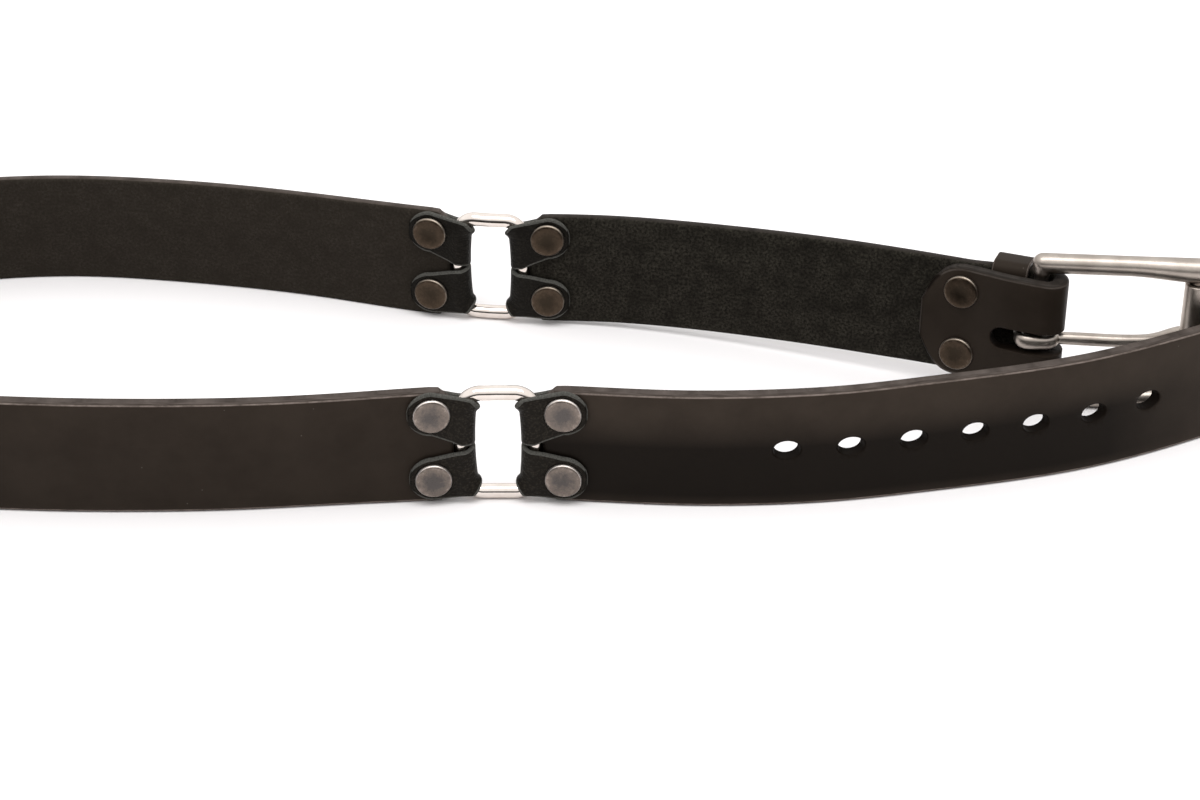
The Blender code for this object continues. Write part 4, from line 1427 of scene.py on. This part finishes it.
@dataclass
class RingJoint:
    """A ring with its four tabs and their rivets."""

    word: str
    ring_at: float
    route: BeltRoute
    shown_face: int
    wire: float = 2.25 * MM
    half_width: float = 10.75 * MM
    half_height: float = 16.75 * MM
    corner: float = 6.0 * MM
    tab_thickness: float = 1.6 * MM
    tab_gap: float = 0.1 * MM
    cap_gap: float = 0.1 * MM
    bend_gap: float = 0.2 * MM
    inner_edge: float = 0.15 * MM
    inner_open: float = 0.85 * MM
    corner_turn: float = math.radians(68.0)
    outer_wrap: float = 0.2 * MM
    end_radius: float = 7.3 * MM
    hidden_radius: float = 5.4 * MM
    hidden_drop: float = 3.0 * MM
    bulge: float = 1.3 * MM
    cut_width: float = 0.75 * MM
    punch_depth: float = 20.0 * MM
    shown_cap: float = 5.5 * MM
    hidden_cap: float = 4.8 * MM
    rise_from: float = 0.62
    rise_to: float = 1.06
    rows: int = 14
    bend_steps: int = 16
    end_angles: tuple[float, ...] = (9, 17, 26, 36, 47, 58, 70, 80)
    span_shares: tuple[float, ...] = (0.0, 0.12, 0.24, 0.36, 0.48, 0.56, 0.64, 0.72, 0.8, 0.88, 0.95)

    @property
    def outer_edge(self) -> float:
        """Way along the wire, from the middle of its side, that a tab's outer edge reaches."""
        return self.half_height - self.corner * (1 - self.corner_turn)

    @property
    def bend(self) -> float:
        """Radius of a tab's middle layer round the wire."""
        return self.wire + self.bend_gap + self.tab_thickness / 2

    @property
    def layer(self) -> float:
        """Place of a tab's middle layer out of the strap's."""
        return BELT.thickness / 2 + self.tab_gap + self.tab_thickness / 2

    def make_ring(self, finish: bpy.types.Material) -> None:
        """The ring: a round wire bent to a rounded oblong.

        Args:
            finish: its material.
        """
        deselect_all()
        bpy.ops.mesh.primitive_torus_add(
            major_radius=self.corner, minor_radius=self.wire, major_segments=96, minor_segments=28
        )
        node = f"ring_{self.word}"
        ring = named(f"{node}_nickel")
        only(ring)
        bpy.ops.object.mode_set(mode="EDIT")
        bpy.ops.mesh.select_all(action="SELECT")
        bpy.ops.transform.rotate(value=math.pi / 2, orient_axis="X", center_override=(0, 0, 0))
        bpy.ops.object.mode_set(mode="OBJECT")
        pull_apart(ring, 0, self.half_width - self.corner)
        pull_apart(ring, 2, self.half_height - self.corner)
        centre = np.array([self.ring_at, 0.0, BELT.middle])
        moves = [lambda points: points + centre, self.route.bend]
        settle(ring, moves, finish, "belt", node, Slot.RING, 80.0)

    def wire_at(self, way: float) -> Spot:
        """Where the ring's wire is at a way up its side and round its corner.

        Args:
            way: length along the wire from the middle of its side.

        Returns:
            Distance along the belt from the ring's middle, height, and how far it has turned.
        """
        side = self.half_height - self.corner
        turn = max(0.0, way - side) / self.corner
        along = self.half_width - self.corner * (1 - math.cos(turn))
        return along, min(way, side) + self.corner * math.sin(turn), turn

    def tab_point(self, rivet_up: float, share: float, station: Station) -> Spot:
        """A point of a tab's middle layer.

        Args:
            rivet_up: height of the rivet from the ring's middle.
            share: -1 at the tab's inner edge to 1 at its outer edge.
            station: the stretch, the angle or share in it, and the face: 1 is out of the loop.

        Returns:
            Distance from the ring's middle, place out, and height from the ring's middle.
        """
        stretch, value, face = station
        radius = self.end_radius if face == self.shown_face else self.hidden_radius
        if stretch is Stretch.END:
            up = rivet_up + share * radius * math.sin(value)
            return BELT.rivet_to_ring + radius * math.cos(value), face * self.layer, up
        opening, hidden = 1.0, float(face != self.shown_face)
        if stretch is Stretch.BEND:
            opening, hidden = math.cos(value) ** 2, (1 - math.cos(value) * self.shown_face) / 2
        inner = self.inner_edge + self.inner_open * opening
        outer = self.outer_edge + self.outer_wrap * (1 - opening) - self.hidden_drop * hidden
        way = inner + (outer - inner) * (1 + share) / 2
        wire, wire_up, turn = self.wire_at(way)
        if stretch is Stretch.SPAN:
            start_up = rivet_up + share * radius
            rise = float(smoothstep((value - self.rise_from) / (self.rise_to - self.rise_from)))
            out = self.layer + (self.bend - self.layer) * rise
            along = BELT.rivet_to_ring + (wire - BELT.rivet_to_ring) * value
            return along, face * out, start_up + (wire_up - start_up) * value
        reach = self.bend * math.sin(value)
        bulge = self.bulge * math.sin(value) * (way / self.outer_edge) ** 2
        along = wire - reach * math.cos(turn) - bulge
        return along, self.bend * math.cos(value), wire_up - reach * math.sin(turn)

    def tab_stations(self) -> list[Station]:
        """The stations of a tab, from its end on one face round the wire to the other.

        Returns:
            One station for each column of the tab's sheet.
        """
        outer = [(Stretch.END, math.radians(angle), 1) for angle in self.end_angles]
        outer += [(Stretch.SPAN, share, 1) for share in self.span_shares]
        wire = [(Stretch.BEND, math.pi * i / self.bend_steps, 1) for i in range(self.bend_steps + 1)]
        inner = [(stretch, value, -1) for stretch, value, _ in reversed(outer)]
        return outer + wire + inner

    def make_tab(self, side: RingSide, level: Level, finish: bpy.types.Material) -> None:
        """One tab: a strip folded round the ring's wire, round-ended at its rivet.

        Args:
            side: side of the ring.
            level: above or below the middle.
            finish: its material.
        """
        stations = self.tab_stations()
        name = f"tab_{self.word}_{side.name.lower()}_{level.name.lower()}"
        centre_up = BELT.rivets_middle + level.value * BELT.rivet_up
        rivet_up = abs(centre_up - BELT.middle)

        def place(column: int, row: int) -> Spot:
            """Corner of the tab's middle sheet."""
            distance, out, up = self.tab_point(rivet_up, 2 * row / self.rows - 1, stations[column])
            return self.ring_at + side.value * distance, out, BELT.middle + level.value * up

        tab = sheet(f"{name}_leather", len(stations) - 1, self.rows, place)
        points = read_points(tab)
        sheet_length = self.unrolled(stations, rivet_up)
        grid = np.arange(len(points))
        columns = grid % len(stations)
        rows = grid // len(stations)
        paint(tab, "length", sheet_length[columns])
        paint(tab, "height", rows / self.rows * (self.outer_edge - self.inner_edge) * level.value)
        for _ in range(2):
            tab.data.materials.append(None)
        thicken(tab, self.tab_thickness, self.cut_width, 55, rim_slot=1)
        spot = (self.ring_at + side.value * BELT.rivet_to_ring, 0.0, centre_up)
        cut_away(tab, [round_punch(spot, BELT.rivet_hole, self.punch_depth, RIVET_PUNCH_SIDES)])
        add_modifier(tab, "TRIANGULATE", min_vertices=5)
        apply_modifiers(tab)
        self.dress_tab(tab)
        settle(tab, [self.route.bend], finish, "belt", name, Slot.TAB, 50.0, True)

    def unrolled(self, stations: Sequence[Station], rivet_up: float) -> np.ndarray:
        """Length along the unrolled tab of each station.

        Args:
            stations: the tab's stations.
            rivet_up: height of the rivet from the ring's middle.

        Returns:
            One length for each station.
        """
        line = [self.tab_point(rivet_up, 0.0, station) for station in stations]
        steps = [math.dist(a, b) for a, b in zip(line, line[1:])]
        return np.concatenate([[0.0], np.cumsum(steps)])

    def dress_tab(self, tab: bpy.types.Object) -> None:
        """Maps a tab along its own strip, and paints its cut edges.

        Args:
            tab: the flat-belt tab, with the numbers length and height painted on it.
        """
        mesh = tab.data
        count = len(mesh.vertices)
        length = np.empty(count, np.float32)
        height = np.empty(count, np.float32)
        mesh.attributes["length"].data.foreach_get("value", length)
        mesh.attributes["height"].data.foreach_get("value", height)
        lay_map(tab, length.astype(float), height.astype(float))
        index = np.empty(len(mesh.polygons), int)
        mesh.polygons.foreach_get("material_index", index)
        paint(tab, "cut", (index == 1).astype(float), "FACE")
        mesh.polygons.foreach_set("material_index", np.zeros(len(index), int))

    def make_rivet(self, side: RingSide, level: Level, finish: bpy.types.Material) -> None:
        """The rivet through a tab, with a cap on each face.

        Args:
            side: side of the ring.
            level: above or below the middle.
            finish: its material.
        """
        place = f"{self.word}_{side.name.lower()}_{level.name.lower()}"
        cap_at = self.layer + self.tab_thickness / 2 + self.cap_gap
        along = self.ring_at + side.value * BELT.rivet_to_ring
        centre = (along, 0.0, BELT.rivets_middle + level.value * BELT.rivet_up)
        caps = (self.shown_cap, self.hidden_cap)[:: self.shown_face]
        Rivet(cap_at, *caps).make(f"rivet_{place}", centre, self.route, finish)

    def make(self, ring: bpy.types.Material, tab: bpy.types.Material, rivet: bpy.types.Material) -> None:
        """Makes the whole joint.

        Args:
            ring: finish of the ring.
            tab: finish of the tabs.
            rivet: finish of the rivets.
        """
        self.make_ring(ring)
        for side in RingSide:
            for level in Level:
                self.make_tab(side, level, tab)
                self.make_rivet(side, level, rivet)


@dataclass(frozen=True)
class Rivet:
    """A rivet with a shallow dished cap on each face."""

    cap_at: float
    upper_cap: float = 5.5 * MM
    lower_cap: float = 5.5 * MM
    dome: float = 1.2 * MM
    dish: float = 0.95 * MM
    wall: float = 0.35 * MM
    post: float = 1.8 * MM
    shoulder: float = 0.85 * MM
    shoulder_steps: int = 6
    bowl: float = 0.72
    bowl_shares: tuple[float, ...] = (0.2, 0.4, 0.55, 0.68)
    sides: int = 48

    def half_profile(self, cap: float) -> Profile:
        """The rows of one cap and half the post.

        Args:
            cap: radius of the cap.

        Returns:
            Rows (radius, height), from the top down.
        """
        rise = self.dome - self.wall
        rows = [(0.0, self.cap_at + self.dish)]
        for share in self.bowl_shares:
            lift = (self.dome - self.dish) * float(smoothstep(share / self.bowl))
            rows.append((share * cap, self.cap_at + self.dish + lift))
        for i in range(self.shoulder_steps + 1):
            angle = math.pi / 2 * i / self.shoulder_steps
            out = cap - self.shoulder * (1 - math.sin(angle))
            rows.append((out, self.cap_at + self.wall + rise * math.cos(angle)))
        return rows + [(cap, self.cap_at + 0.1 * MM), (cap - 0.1 * MM, self.cap_at), (self.post, self.cap_at)]

    def profile(self) -> Profile:
        """Rows (radius, height) of the whole rivet, from the top down."""
        lower = [(radius, -height) for radius, height in self.half_profile(self.lower_cap)]
        return self.half_profile(self.upper_cap) + lower[::-1]

    def make(self, node: str, centre: Sequence[float], route: BeltRoute, finish: bpy.types.Material) -> None:
        """Makes the rivet in its place.

        Args:
            node: the CAD node that it stands for.
            centre: its flat-belt middle.
            route: the belt's route.
            finish: its material.
        """
        rivet = turned(f"{node}_metal", self.profile(), self.sides)
        points = read_points(rivet)
        cap = np.where(points[:, 2] > 0, self.upper_cap, self.lower_cap)
        paint(rivet, "rim", np.hypot(points[:, 0], points[:, 1]) / cap)

        def lay_across(rows: np.ndarray) -> np.ndarray:
            """Turns the rivet's axis across the belt."""
            x, y, z = rows.T
            return np.column_stack([x, z, -y]) + np.array(centre)

        settle(rivet, [lay_across, route.bend], finish, "belt", node, Slot.RIVET, 60.0)


@dataclass
class BuckleEnd:
    """The keeper and the two rivets that close the fold."""

    route: BeltRoute
    straps: StrapSet
    keeper_from: float = 7.0 * MM
    keeper_width: float = 11.4 * MM
    keeper_thickness: float = 1.6 * MM
    keeper_above: float = 1.9 * MM
    keeper_passage: float = 3.3 * MM
    keeper_corner: float = 3.2 * MM
    small_corner: float = 2.7 * MM
    keeper_end: float = 7.2 * MM
    keeper_edge: float = 0.4 * MM
    keeper_step: float = 2.0 * MM
    keeper_rows: int = 8
    rivet_gap: float = 0.66 * MM

    def quarter(self, out: float, up: float, radius: float, start: float, steps: int) -> Profile:
        """Points of a quarter turn about (out, up), clockwise from a start angle in degrees."""
        angles = [math.radians(start - 90 * i / steps) for i in range(steps + 1)]
        return [(out + radius * math.cos(turn), up + radius * math.sin(turn)) for turn in angles]

    def outline(self) -> Profile:
        """Middle line of the keeper's band across the belt, as (out, up).

        Returns:
            The points, from the band's upper end to its lower one.
        """
        half = self.keeper_thickness / 2
        face = float(FOLD.spread(np.array([self.keeper_from]))[0]) + BELT.cad_thickness / 2
        low = BELT.bar_out
        high = face + self.keeper_passage + half
        top = BELT.width + self.keeper_above - half
        bottom = half - self.keeper_above
        small = self.small_corner
        wide = self.keeper_corner
        corners = [
            (low, self.straps.slot_middle + self.keeper_end),
            *self.quarter(low + small, top - small, small, 180, 6),
            *self.quarter(high - wide, top - wide, wide, 90, 10),
            *self.quarter(high - wide, bottom + wide, wide, 0, 10),
            *self.quarter(low + small, bottom + small, small, -90, 6),
            (low, self.straps.slot_middle - self.keeper_end),
        ]
        points = [corners[0]]
        for start, end in zip(corners, corners[1:]):
            count = max(1, round(math.dist(start, end) / self.keeper_step))
            step = np.array(end) - start
            points += [tuple(np.array(start) + step * i / count) for i in range(1, count + 1)]
        return points

    def make_keeper(self, finish: bpy.types.Material) -> None:
        """The keeper: a band of leather round the strap.

        Args:
            finish: its material.
        """
        line = self.outline()

        def place(column: int, row: int) -> Spot:
            """Corner of the band's middle sheet."""
            out, up = line[column]
            return self.keeper_from + self.keeper_width * row / self.keeper_rows, out, up

        keeper = sheet("keeper_loop_leather", len(line) - 1, self.keeper_rows, place)
        steps = np.concatenate([[0.0], np.cumsum([math.dist(a, b) for a, b in zip(line, line[1:])])])
        paint(keeper, "length", steps[np.arange(len(keeper.data.vertices)) % len(line)])
        thicken(keeper, self.keeper_thickness, self.keeper_edge, 60)
        points = read_points(keeper)
        length = np.empty(len(points), np.float32)
        keeper.data.attributes["length"].data.foreach_get("value", length)
        lay_map(keeper, length.astype(float), points[:, 0])
        past = points[:, 0] - self.keeper_from
        near = np.minimum(past, self.keeper_width - past)
        paint(keeper, "rim", np.clip(1 - near / self.keeper_edge, 0.0, 1.0))
        paint(keeper, "flesh", np.zeros(len(points)))
        paint(keeper, "bore", np.zeros(len(points)))
        settle(keeper, [self.route.bend], finish, "belt", "keeper_loop", Slot.STRAP, 60.0)

    def make_rivets(self, finish: bpy.types.Material) -> None:
        """The two rivets that close the fold.

        Args:
            finish: their material.
        """
        cap_at = BELT.layer_step / 2 + BELT.cad_thickness / 2 + self.rivet_gap
        for level in Level:
            up = BELT.middle + level.value * self.straps.flap_rivet_up
            centre = (self.straps.flap_rivet_at, BELT.bar_out, up)
            Rivet(cap_at).make(f"rivet_flap_{level.name.lower()}", centre, self.route, finish)


@dataclass
class RollerBuckle:
    """The cast frame, the roller on its end bar and the prong on its heel bar."""

    route: BeltRoute
    yaw: float = math.radians(-4.4)
    height: float = 53.0 * MM
    length: float = 47.4 * MM
    rail_at_heel: float = 3.15 * MM
    rail_at_roller: float = 3.9 * MM
    flare_from: float = 26.0 * MM
    rail_cuts: int = 24
    bar_sides: int = 40
    frame_grain: float = 0.30 * MM
    frame_smoothing: int = 14
    end_bar: float = 2.5 * MM
    roller_outside: float = 4.0 * MM
    roller_inside: float = 2.9 * MM
    roller_lip: float = 0.5 * MM
    roller_sides: int = 64
    prong_height: float = 24.3 * MM
    prong_grain: float = 0.22 * MM
    prong_smoothing: int = 12
    prong_points: int = 60
    eye_outside: float = 6.0 * MM
    eye_long: float = 7.0 * MM
    eye_half_height: float = 2.35 * MM
    eye_square: float = 3.0
    # Distance from the heel bar, place out of the loop and radius of the prong's wire, mm.
    prong_line: tuple[tuple[float, float, float], ...] = (
        (4.6, -0.8, 1.9),
        (9.0, -0.8, 2.0),
        (30.4, -0.8, 2.0),
        (34.6, 0.0, 2.0),
        (38.6, 2.0, 2.0),
        (42.4, 4.6, 2.0),
        (45.8, 6.3, 1.85),
        (49.9, 6.1, 1.55),
        (51.5, 5.9, 1.0),
    )
    # Height and radius of the heel bar from its lower end to its upper one, mm.
    heel_line: tuple[tuple[float, float], ...] = (
        (3.15, 3.05),
        (5.2, 2.9),
        (6.6, 2.7),
        (7.15, 2.25),
        (45.85, 2.25),
        (46.4, 2.7),
        (47.8, 2.9),
        (49.85, 3.05),
    )

    def carry(self, points: np.ndarray) -> np.ndarray:
        """Sets buckle points, made from the heel bar along +X, in their place.

        Args:
            points: one row (x, y, z) for each point.

        Returns:
            The same rows in their place.
        """
        heel = self.route.bend(np.array([[BELT.heel_slack, BELT.bar_out, 0.0]]))[0]
        cos_yaw = math.cos(self.yaw)
        sin_yaw = math.sin(self.yaw)
        x, y, z = points.T
        return np.column_stack([heel[0] + x * cos_yaw - y * sin_yaw, heel[1] + x * sin_yaw + y * cos_yaw, z])

    def rail_radius(self, x: np.ndarray) -> np.ndarray:
        """Radius of a rail at a distance from the heel bar."""
        share = (x - self.flare_from) / (self.length - self.flare_from)
        return self.rail_at_heel + (self.rail_at_roller - self.rail_at_heel) * smoothstep(share)

    def make_rail(self, name: str, level: Level) -> bpy.types.Object:
        """A rail with a ball at each end.

        Args:
            name: name of the object.
            level: upper or lower rail.

        Returns:
            The rail.
        """
        deselect_all()
        bpy.ops.mesh.primitive_uv_sphere_add(segments=40, ring_count=24, radius=self.rail_at_heel)
        rail = named(name)
        only(rail)
        bpy.ops.object.mode_set(mode="EDIT")
        bpy.ops.mesh.select_all(action="SELECT")
        bpy.ops.transform.rotate(value=math.pi / 2, orient_axis="Y", center_override=(0, 0, 0))
        bpy.ops.object.mode_set(mode="OBJECT")
        shift_half(rail, 0, self.length, 1)
        only(rail)
        bpy.ops.object.mode_set(mode="EDIT")
        for i in range(1, self.rail_cuts):
            cut_at = (self.length * i / self.rail_cuts, 0.0, 0.0)
            bpy.ops.mesh.select_all(action="SELECT")
            bpy.ops.mesh.bisect(plane_co=cut_at, plane_no=(1.0, 0.0, 0.0))
        bpy.ops.object.mode_set(mode="OBJECT")
        points = read_points(rail)
        middle = self.rail_radius(np.clip(points[:, 0], 0.0, self.length))
        grow = middle / self.rail_at_heel
        points[:, 1:] *= grow[:, None]
        past = points[:, 0] > self.length
        points[past, 0] = self.length + (points[past, 0] - self.length) * grow[past]
        lift = middle if level is Level.LOWER else self.height - middle
        points[:, 2] += lift
        write_points(rail, points)
        return rail

    def make_end_bar(self) -> bpy.types.Object:
        """The upright bar that the roller turns on.

        Returns:
            The bar.
        """
        deselect_all()
        depth = self.height - 2 * self.rail_at_heel
        middle = (self.length, 0.0, self.height / 2)
        bpy.ops.mesh.primitive_cylinder_add(
            vertices=self.bar_sides, radius=self.end_bar, depth=depth, location=middle
        )
        bar = named("end_bar")
        apply_place(bar)
        return bar

    def make_heel_bar(self) -> bpy.types.Object:
        """The upright bar that the strap folds round, thick where it meets the rails.

        Returns:
            The bar.
        """
        ends = [(0.0, self.heel_line[0][0]), (0.0, self.heel_line[-1][0])]
        line = [(radius, height) for height, radius in self.heel_line]
        profile = [(r * MM, h * MM) for r, h in [ends[0], *line, ends[1]]]
        return turned("heel_bar", profile[::-1], self.bar_sides)

    def cast(
        self, pieces: Sequence[bpy.types.Object], name: str, grain: float, smoothing: int
    ) -> bpy.types.Object:
        """Melts overlapping pieces into one cast shape.

        Args:
            pieces: closed meshes.
            name: name of the result.
            grain: how finely it is remade, metres.
            smoothing: rounds of smoothing.

        Returns:
            The cast piece.
        """
        deselect_all()
        for piece in pieces:
            piece.select_set(True)
        bpy.context.view_layer.objects.active = pieces[0]
        bpy.ops.object.join()
        made = named(name)
        add_modifier(made, "REMESH", mode="VOXEL", voxel_size=grain, use_smooth_shade=True)
        add_modifier(made, "SMOOTH", factor=0.5, iterations=smoothing)
        apply_modifiers(made)
        return made

    def make_frame(self, finish: bpy.types.Material) -> None:
        """The frame: two rails, a heel bar and an end bar, cast in one.

        Args:
            finish: its material.
        """
        pieces = [
            self.make_rail("upper_rail", Level.UPPER),
            self.make_rail("lower_rail", Level.LOWER),
            self.make_heel_bar(),
            self.make_end_bar(),
        ]
        cast = self.cast(pieces, "buckle_frame_nickel", self.frame_grain, self.frame_smoothing)
        settle(cast, [self.carry], finish, "frame", "buckle_frame", Slot.BUCKLE, 80.0)

    def make_roller(self, finish: bpy.types.Material) -> None:
        """The roller: a tube with softly rolled ends.

        Args:
            finish: its material.
        """
        low = 2 * self.rail_at_roller + BELT.gap
        high = self.height - low
        lip = self.roller_lip
        profile = [(self.roller_inside, high), (self.roller_outside - lip, high)]
        profile += [
            (self.roller_outside - lip * (1 - math.sin(turn)), high - lip * (1 - math.cos(turn)))
            for turn in (math.radians(angle) for angle in (22.5, 45, 67.5, 90))
        ]
        profile += [
            (self.roller_outside - lip * (1 - math.cos(turn)), low + lip * (1 - math.sin(turn)))
            for turn in (math.radians(angle) for angle in (0, 22.5, 45, 67.5, 90))
        ]
        profile.append((self.roller_inside, low))
        roller = turned("buckle_roller_nickel", profile, self.roller_sides, closed=True)
        out = np.array([self.length, 0.0, 0.0])
        moves = [lambda rows: rows + out, self.carry]
        settle(roller, moves, finish, "roller", "buckle_roller", Slot.BUCKLE, 50.0)

    def make_prong(self, finish: bpy.types.Material) -> None:
        """The prong: a bent wire with its end curled round the heel bar.

        Args:
            finish: its material.
        """
        rows = np.array(self.prong_line) * MM
        knots = np.concatenate([[0.0], np.cumsum(np.hypot(*np.diff(rows[:, :2], axis=0).T))])
        fine = natural_spline(knots, rows, np.linspace(0.0, knots[-1], self.prong_points))
        deselect_all()
        bpy.ops.curve.primitive_bezier_curve_add()
        wire = named("prong_wire")
        wire.data.splines.clear()
        spline = wire.data.splines.new("POLY")
        spline.points.add(len(fine) - 1)
        for control, (x, out, radius) in zip(spline.points, fine):
            control.co = (x, out, 0.0, 1.0)
            control.radius = radius
        wire.data.dimensions = "3D"
        wire.data.bevel_depth = 1.0
        wire.data.bevel_resolution = 8
        wire.data.use_fill_caps = True
        only(wire)
        bpy.ops.object.convert(target="MESH")
        wire = named("prong_wire")
        middle = (BELT.heel_bar + BELT.gap + self.eye_outside) / 2
        thick = (self.eye_outside - BELT.heel_bar - BELT.gap) / 2
        deselect_all()
        bpy.ops.mesh.primitive_torus_add(
            major_radius=middle, minor_radius=thick, major_segments=64, minor_segments=24
        )
        eye = named("prong_eye")
        points = read_points(eye)
        points[:, 2] *= self.eye_half_height / thick
        reach = np.hypot(points[:, 0], points[:, 1])
        way = points[:, :2] / reach[:, None]
        sides = np.abs(way) / np.array([self.eye_long, self.eye_outside])
        oval = (sides**self.eye_square).sum(axis=1) ** (-1 / self.eye_square)
        points[:, :2] = way * (reach - self.eye_outside + oval)[:, None]
        write_points(eye, points)
        cast = self.cast([eye, wire], "buckle_prong_nickel", self.prong_grain, self.prong_smoothing)
        lift = np.array([0.0, 0.0, self.prong_height])
        moves = [lambda rows: rows + lift, self.carry]
        settle(cast, moves, finish, "prong", "buckle_prong", Slot.BUCKLE, 80.0)


@dataclass(frozen=True)
class Studio:
    """A plain pale floor, soft white light and the camera."""

    camera_at: Spot = (0.02017, -0.73514, 0.4404)
    pitch: float = 31.26
    lens: float = 81.0
    floor_colour: Colour = (0.93, 0.912, 0.918)
    sky: float = 1.3
    wall: float = 0.06
    far_wall: float = 0.7
    wall_side: tuple[float, float] = (-0.7, 0.3)
    wall_top: tuple[float, float] = (0.26, 0.52)
    air: Colour = (1.0, 0.99, 0.98)
    floor_size: float = 12.0
    softbox_at: Spot = (0.05, -0.35, 1.35)
    softbox_size: tuple[float, float] = (1.3, 0.7)
    softbox_power: float = 9.0

    def make_floor(self) -> None:
        """The floor, which isn't part of the belt."""
        deselect_all()
        bpy.ops.mesh.primitive_plane_add(size=self.floor_size)
        floor = named("studio_floor")
        nodes = NodeSheet("pale_floor")
        nodes.set(Base_Color=self.floor_colour, Roughness=0.75, Specular_IOR_Level=0.2)
        floor.data.materials.append(nodes.material)

    def make_softbox(self) -> None:
        """A soft rectangular light above, that faces the belt's middle."""
        deselect_all()
        bpy.ops.object.light_add(type="AREA", location=self.softbox_at)
        light = named("top_softbox")
        light.data.shape = "RECTANGLE"
        light.data.size, light.data.size_y = self.softbox_size
        light.data.energy = self.softbox_power
        x, y, z = self.softbox_at
        light.rotation_mode = "XYZ"
        light.rotation_euler = (math.atan2(math.hypot(x, y), z), 0.0, math.atan2(y, x) + math.pi / 2)

    def make_room(self) -> None:
        """White light from above, over a low wall that is dark in front of the belt."""
        world = bpy.data.worlds.new("white_room")
        world.use_nodes = True
        tree = world.node_tree
        background = tree.nodes["Background"]
        background.inputs["Color"].default_value = (*self.air, 1.0)
        direction = tree.nodes.new("ShaderNodeTexCoord")
        axes = tree.nodes.new("ShaderNodeSeparateXYZ")
        tree.links.new(direction.outputs["Generated"], axes.inputs["Vector"])
        side = tree.nodes.new("ShaderNodeMapRange")
        height = tree.nodes.new("ShaderNodeMapRange")
        for node, values in (
            (side, (*self.wall_side, self.sky * self.wall, self.sky * self.far_wall)),
            (height, (*self.wall_top, 0.0, self.sky)),
        ):
            for name, value in zip(RANGE_ENDS, values):
                node.inputs[name].default_value = value
        tree.links.new(axes.outputs["Y"], side.inputs["Value"])
        tree.links.new(axes.outputs["Z"], height.inputs["Value"])
        tree.links.new(side.outputs["Result"], height.inputs["To Min"])
        tree.links.new(height.outputs["Result"], background.inputs["Strength"])
        bpy.context.scene.world = world

    def make(self) -> None:
        """Builds the studio."""
        self.make_floor()
        self.make_room()
        bpy.context.scene.view_settings.view_transform = "Standard"
        self.make_softbox()
        self.make_camera()

    def make_camera(self) -> None:
        """The camera, in the photo's place."""
        deselect_all()
        tilt = math.radians(90 - self.pitch)
        bpy.ops.object.camera_add(location=self.camera_at, rotation=(tilt, 0.0, 0.0))
        camera = named("camera")
        camera.data.lens = self.lens
        camera.data.sensor_width = 36.0
        camera.data.clip_start = 0.05
        camera.data.clip_end = 30.0
        bpy.context.scene.camera = camera


def main() -> None:
    """Builds the belt's looks and the studio."""
    logging.basicConfig(level=logging.INFO, format="%(message)s")
    route = BeltRoute()
    strap = StrapFinish("dyed_strap").make()
    fibrous = StrapFinish(
        "dyed_strap_rough_back",
        flesh_dark=(0.0060, 0.0054, 0.0042),
        flesh_light=(0.056, 0.051, 0.040),
        edge_dark=(0.0120, 0.0100, 0.0085),
        edge_light=(0.0380, 0.0320, 0.0280),
        # A dimmer painted highlight on the edge ridges.
        ridge_highlight=(0.070, 0.059, 0.052),
    ).make()
    # A shaded copy of the strap leather: lighter grain, with a strong band of painted shade over its lower
    # half, so the top reads as lit.
    shade_banded = StrapFinish(
        "dyed_strap_dark_middle",
        grain_dark=(0.0265, 0.0198, 0.0152),
        grain_light=(0.0360, 0.0273, 0.0212),
        shade_band=0.88,
    ).make()
    tab = TabFinish("pebbled_tab").make()
    deep_tab = TabFinish(
        "pebbled_tab_deep",
        dark=(0.0026, 0.0024, 0.0018),
        light=(0.0090, 0.0080, 0.0062),
    ).make()
    rivet = RivetFinish("rubbed_rivet").make()
    brown_rivet = RivetFinish(
        "browned_rivet",
        centre=(0.036, 0.027, 0.019),
        brown=(0.066, 0.047, 0.033),
        rim=(0.118, 0.090, 0.067),
        lip=(0.36, 0.31, 0.26),
    ).make()
    ring = PlateFinish(
        "bright_nickel",
        bright=(0.76, 0.70, 0.655),
        dull=(0.68, 0.61, 0.56),
        tarnish=(0.55, 0.46, 0.38),
        smooth=0.04,
        rough=0.08,
        specks=0.10,
    ).make()
    plate = PlateFinish(
        "worn_nickel",
        bright=(0.43, 0.385, 0.343),
        dull=(0.33, 0.29, 0.257),
        tarnish=(0.11, 0.090, 0.075),
        smooth=0.28,
        rough=0.40,
        specks=0.45,
    ).make()
    straps = StrapSet(route)
    straps.make_billet(shade_banded)
    straps.make_back(strap)
    straps.make_buckle_length(fibrous)
    RingJoint("front", BELT.front_ring_at, route, 1).make(ring, tab, rivet)
    RingJoint("back", BELT.back_ring_at, route, -1).make(ring, deep_tab, brown_rivet)
    end = BuckleEnd(route, straps)
    end.make_keeper(strap)
    end.make_rivets(brown_rivet)
    buckle = RollerBuckle(route)
    buckle.make_frame(plate)
    buckle.make_roller(plate)
    buckle.make_prong(plate)
    Studio().make()


if __name__ == "__main__":
    main()
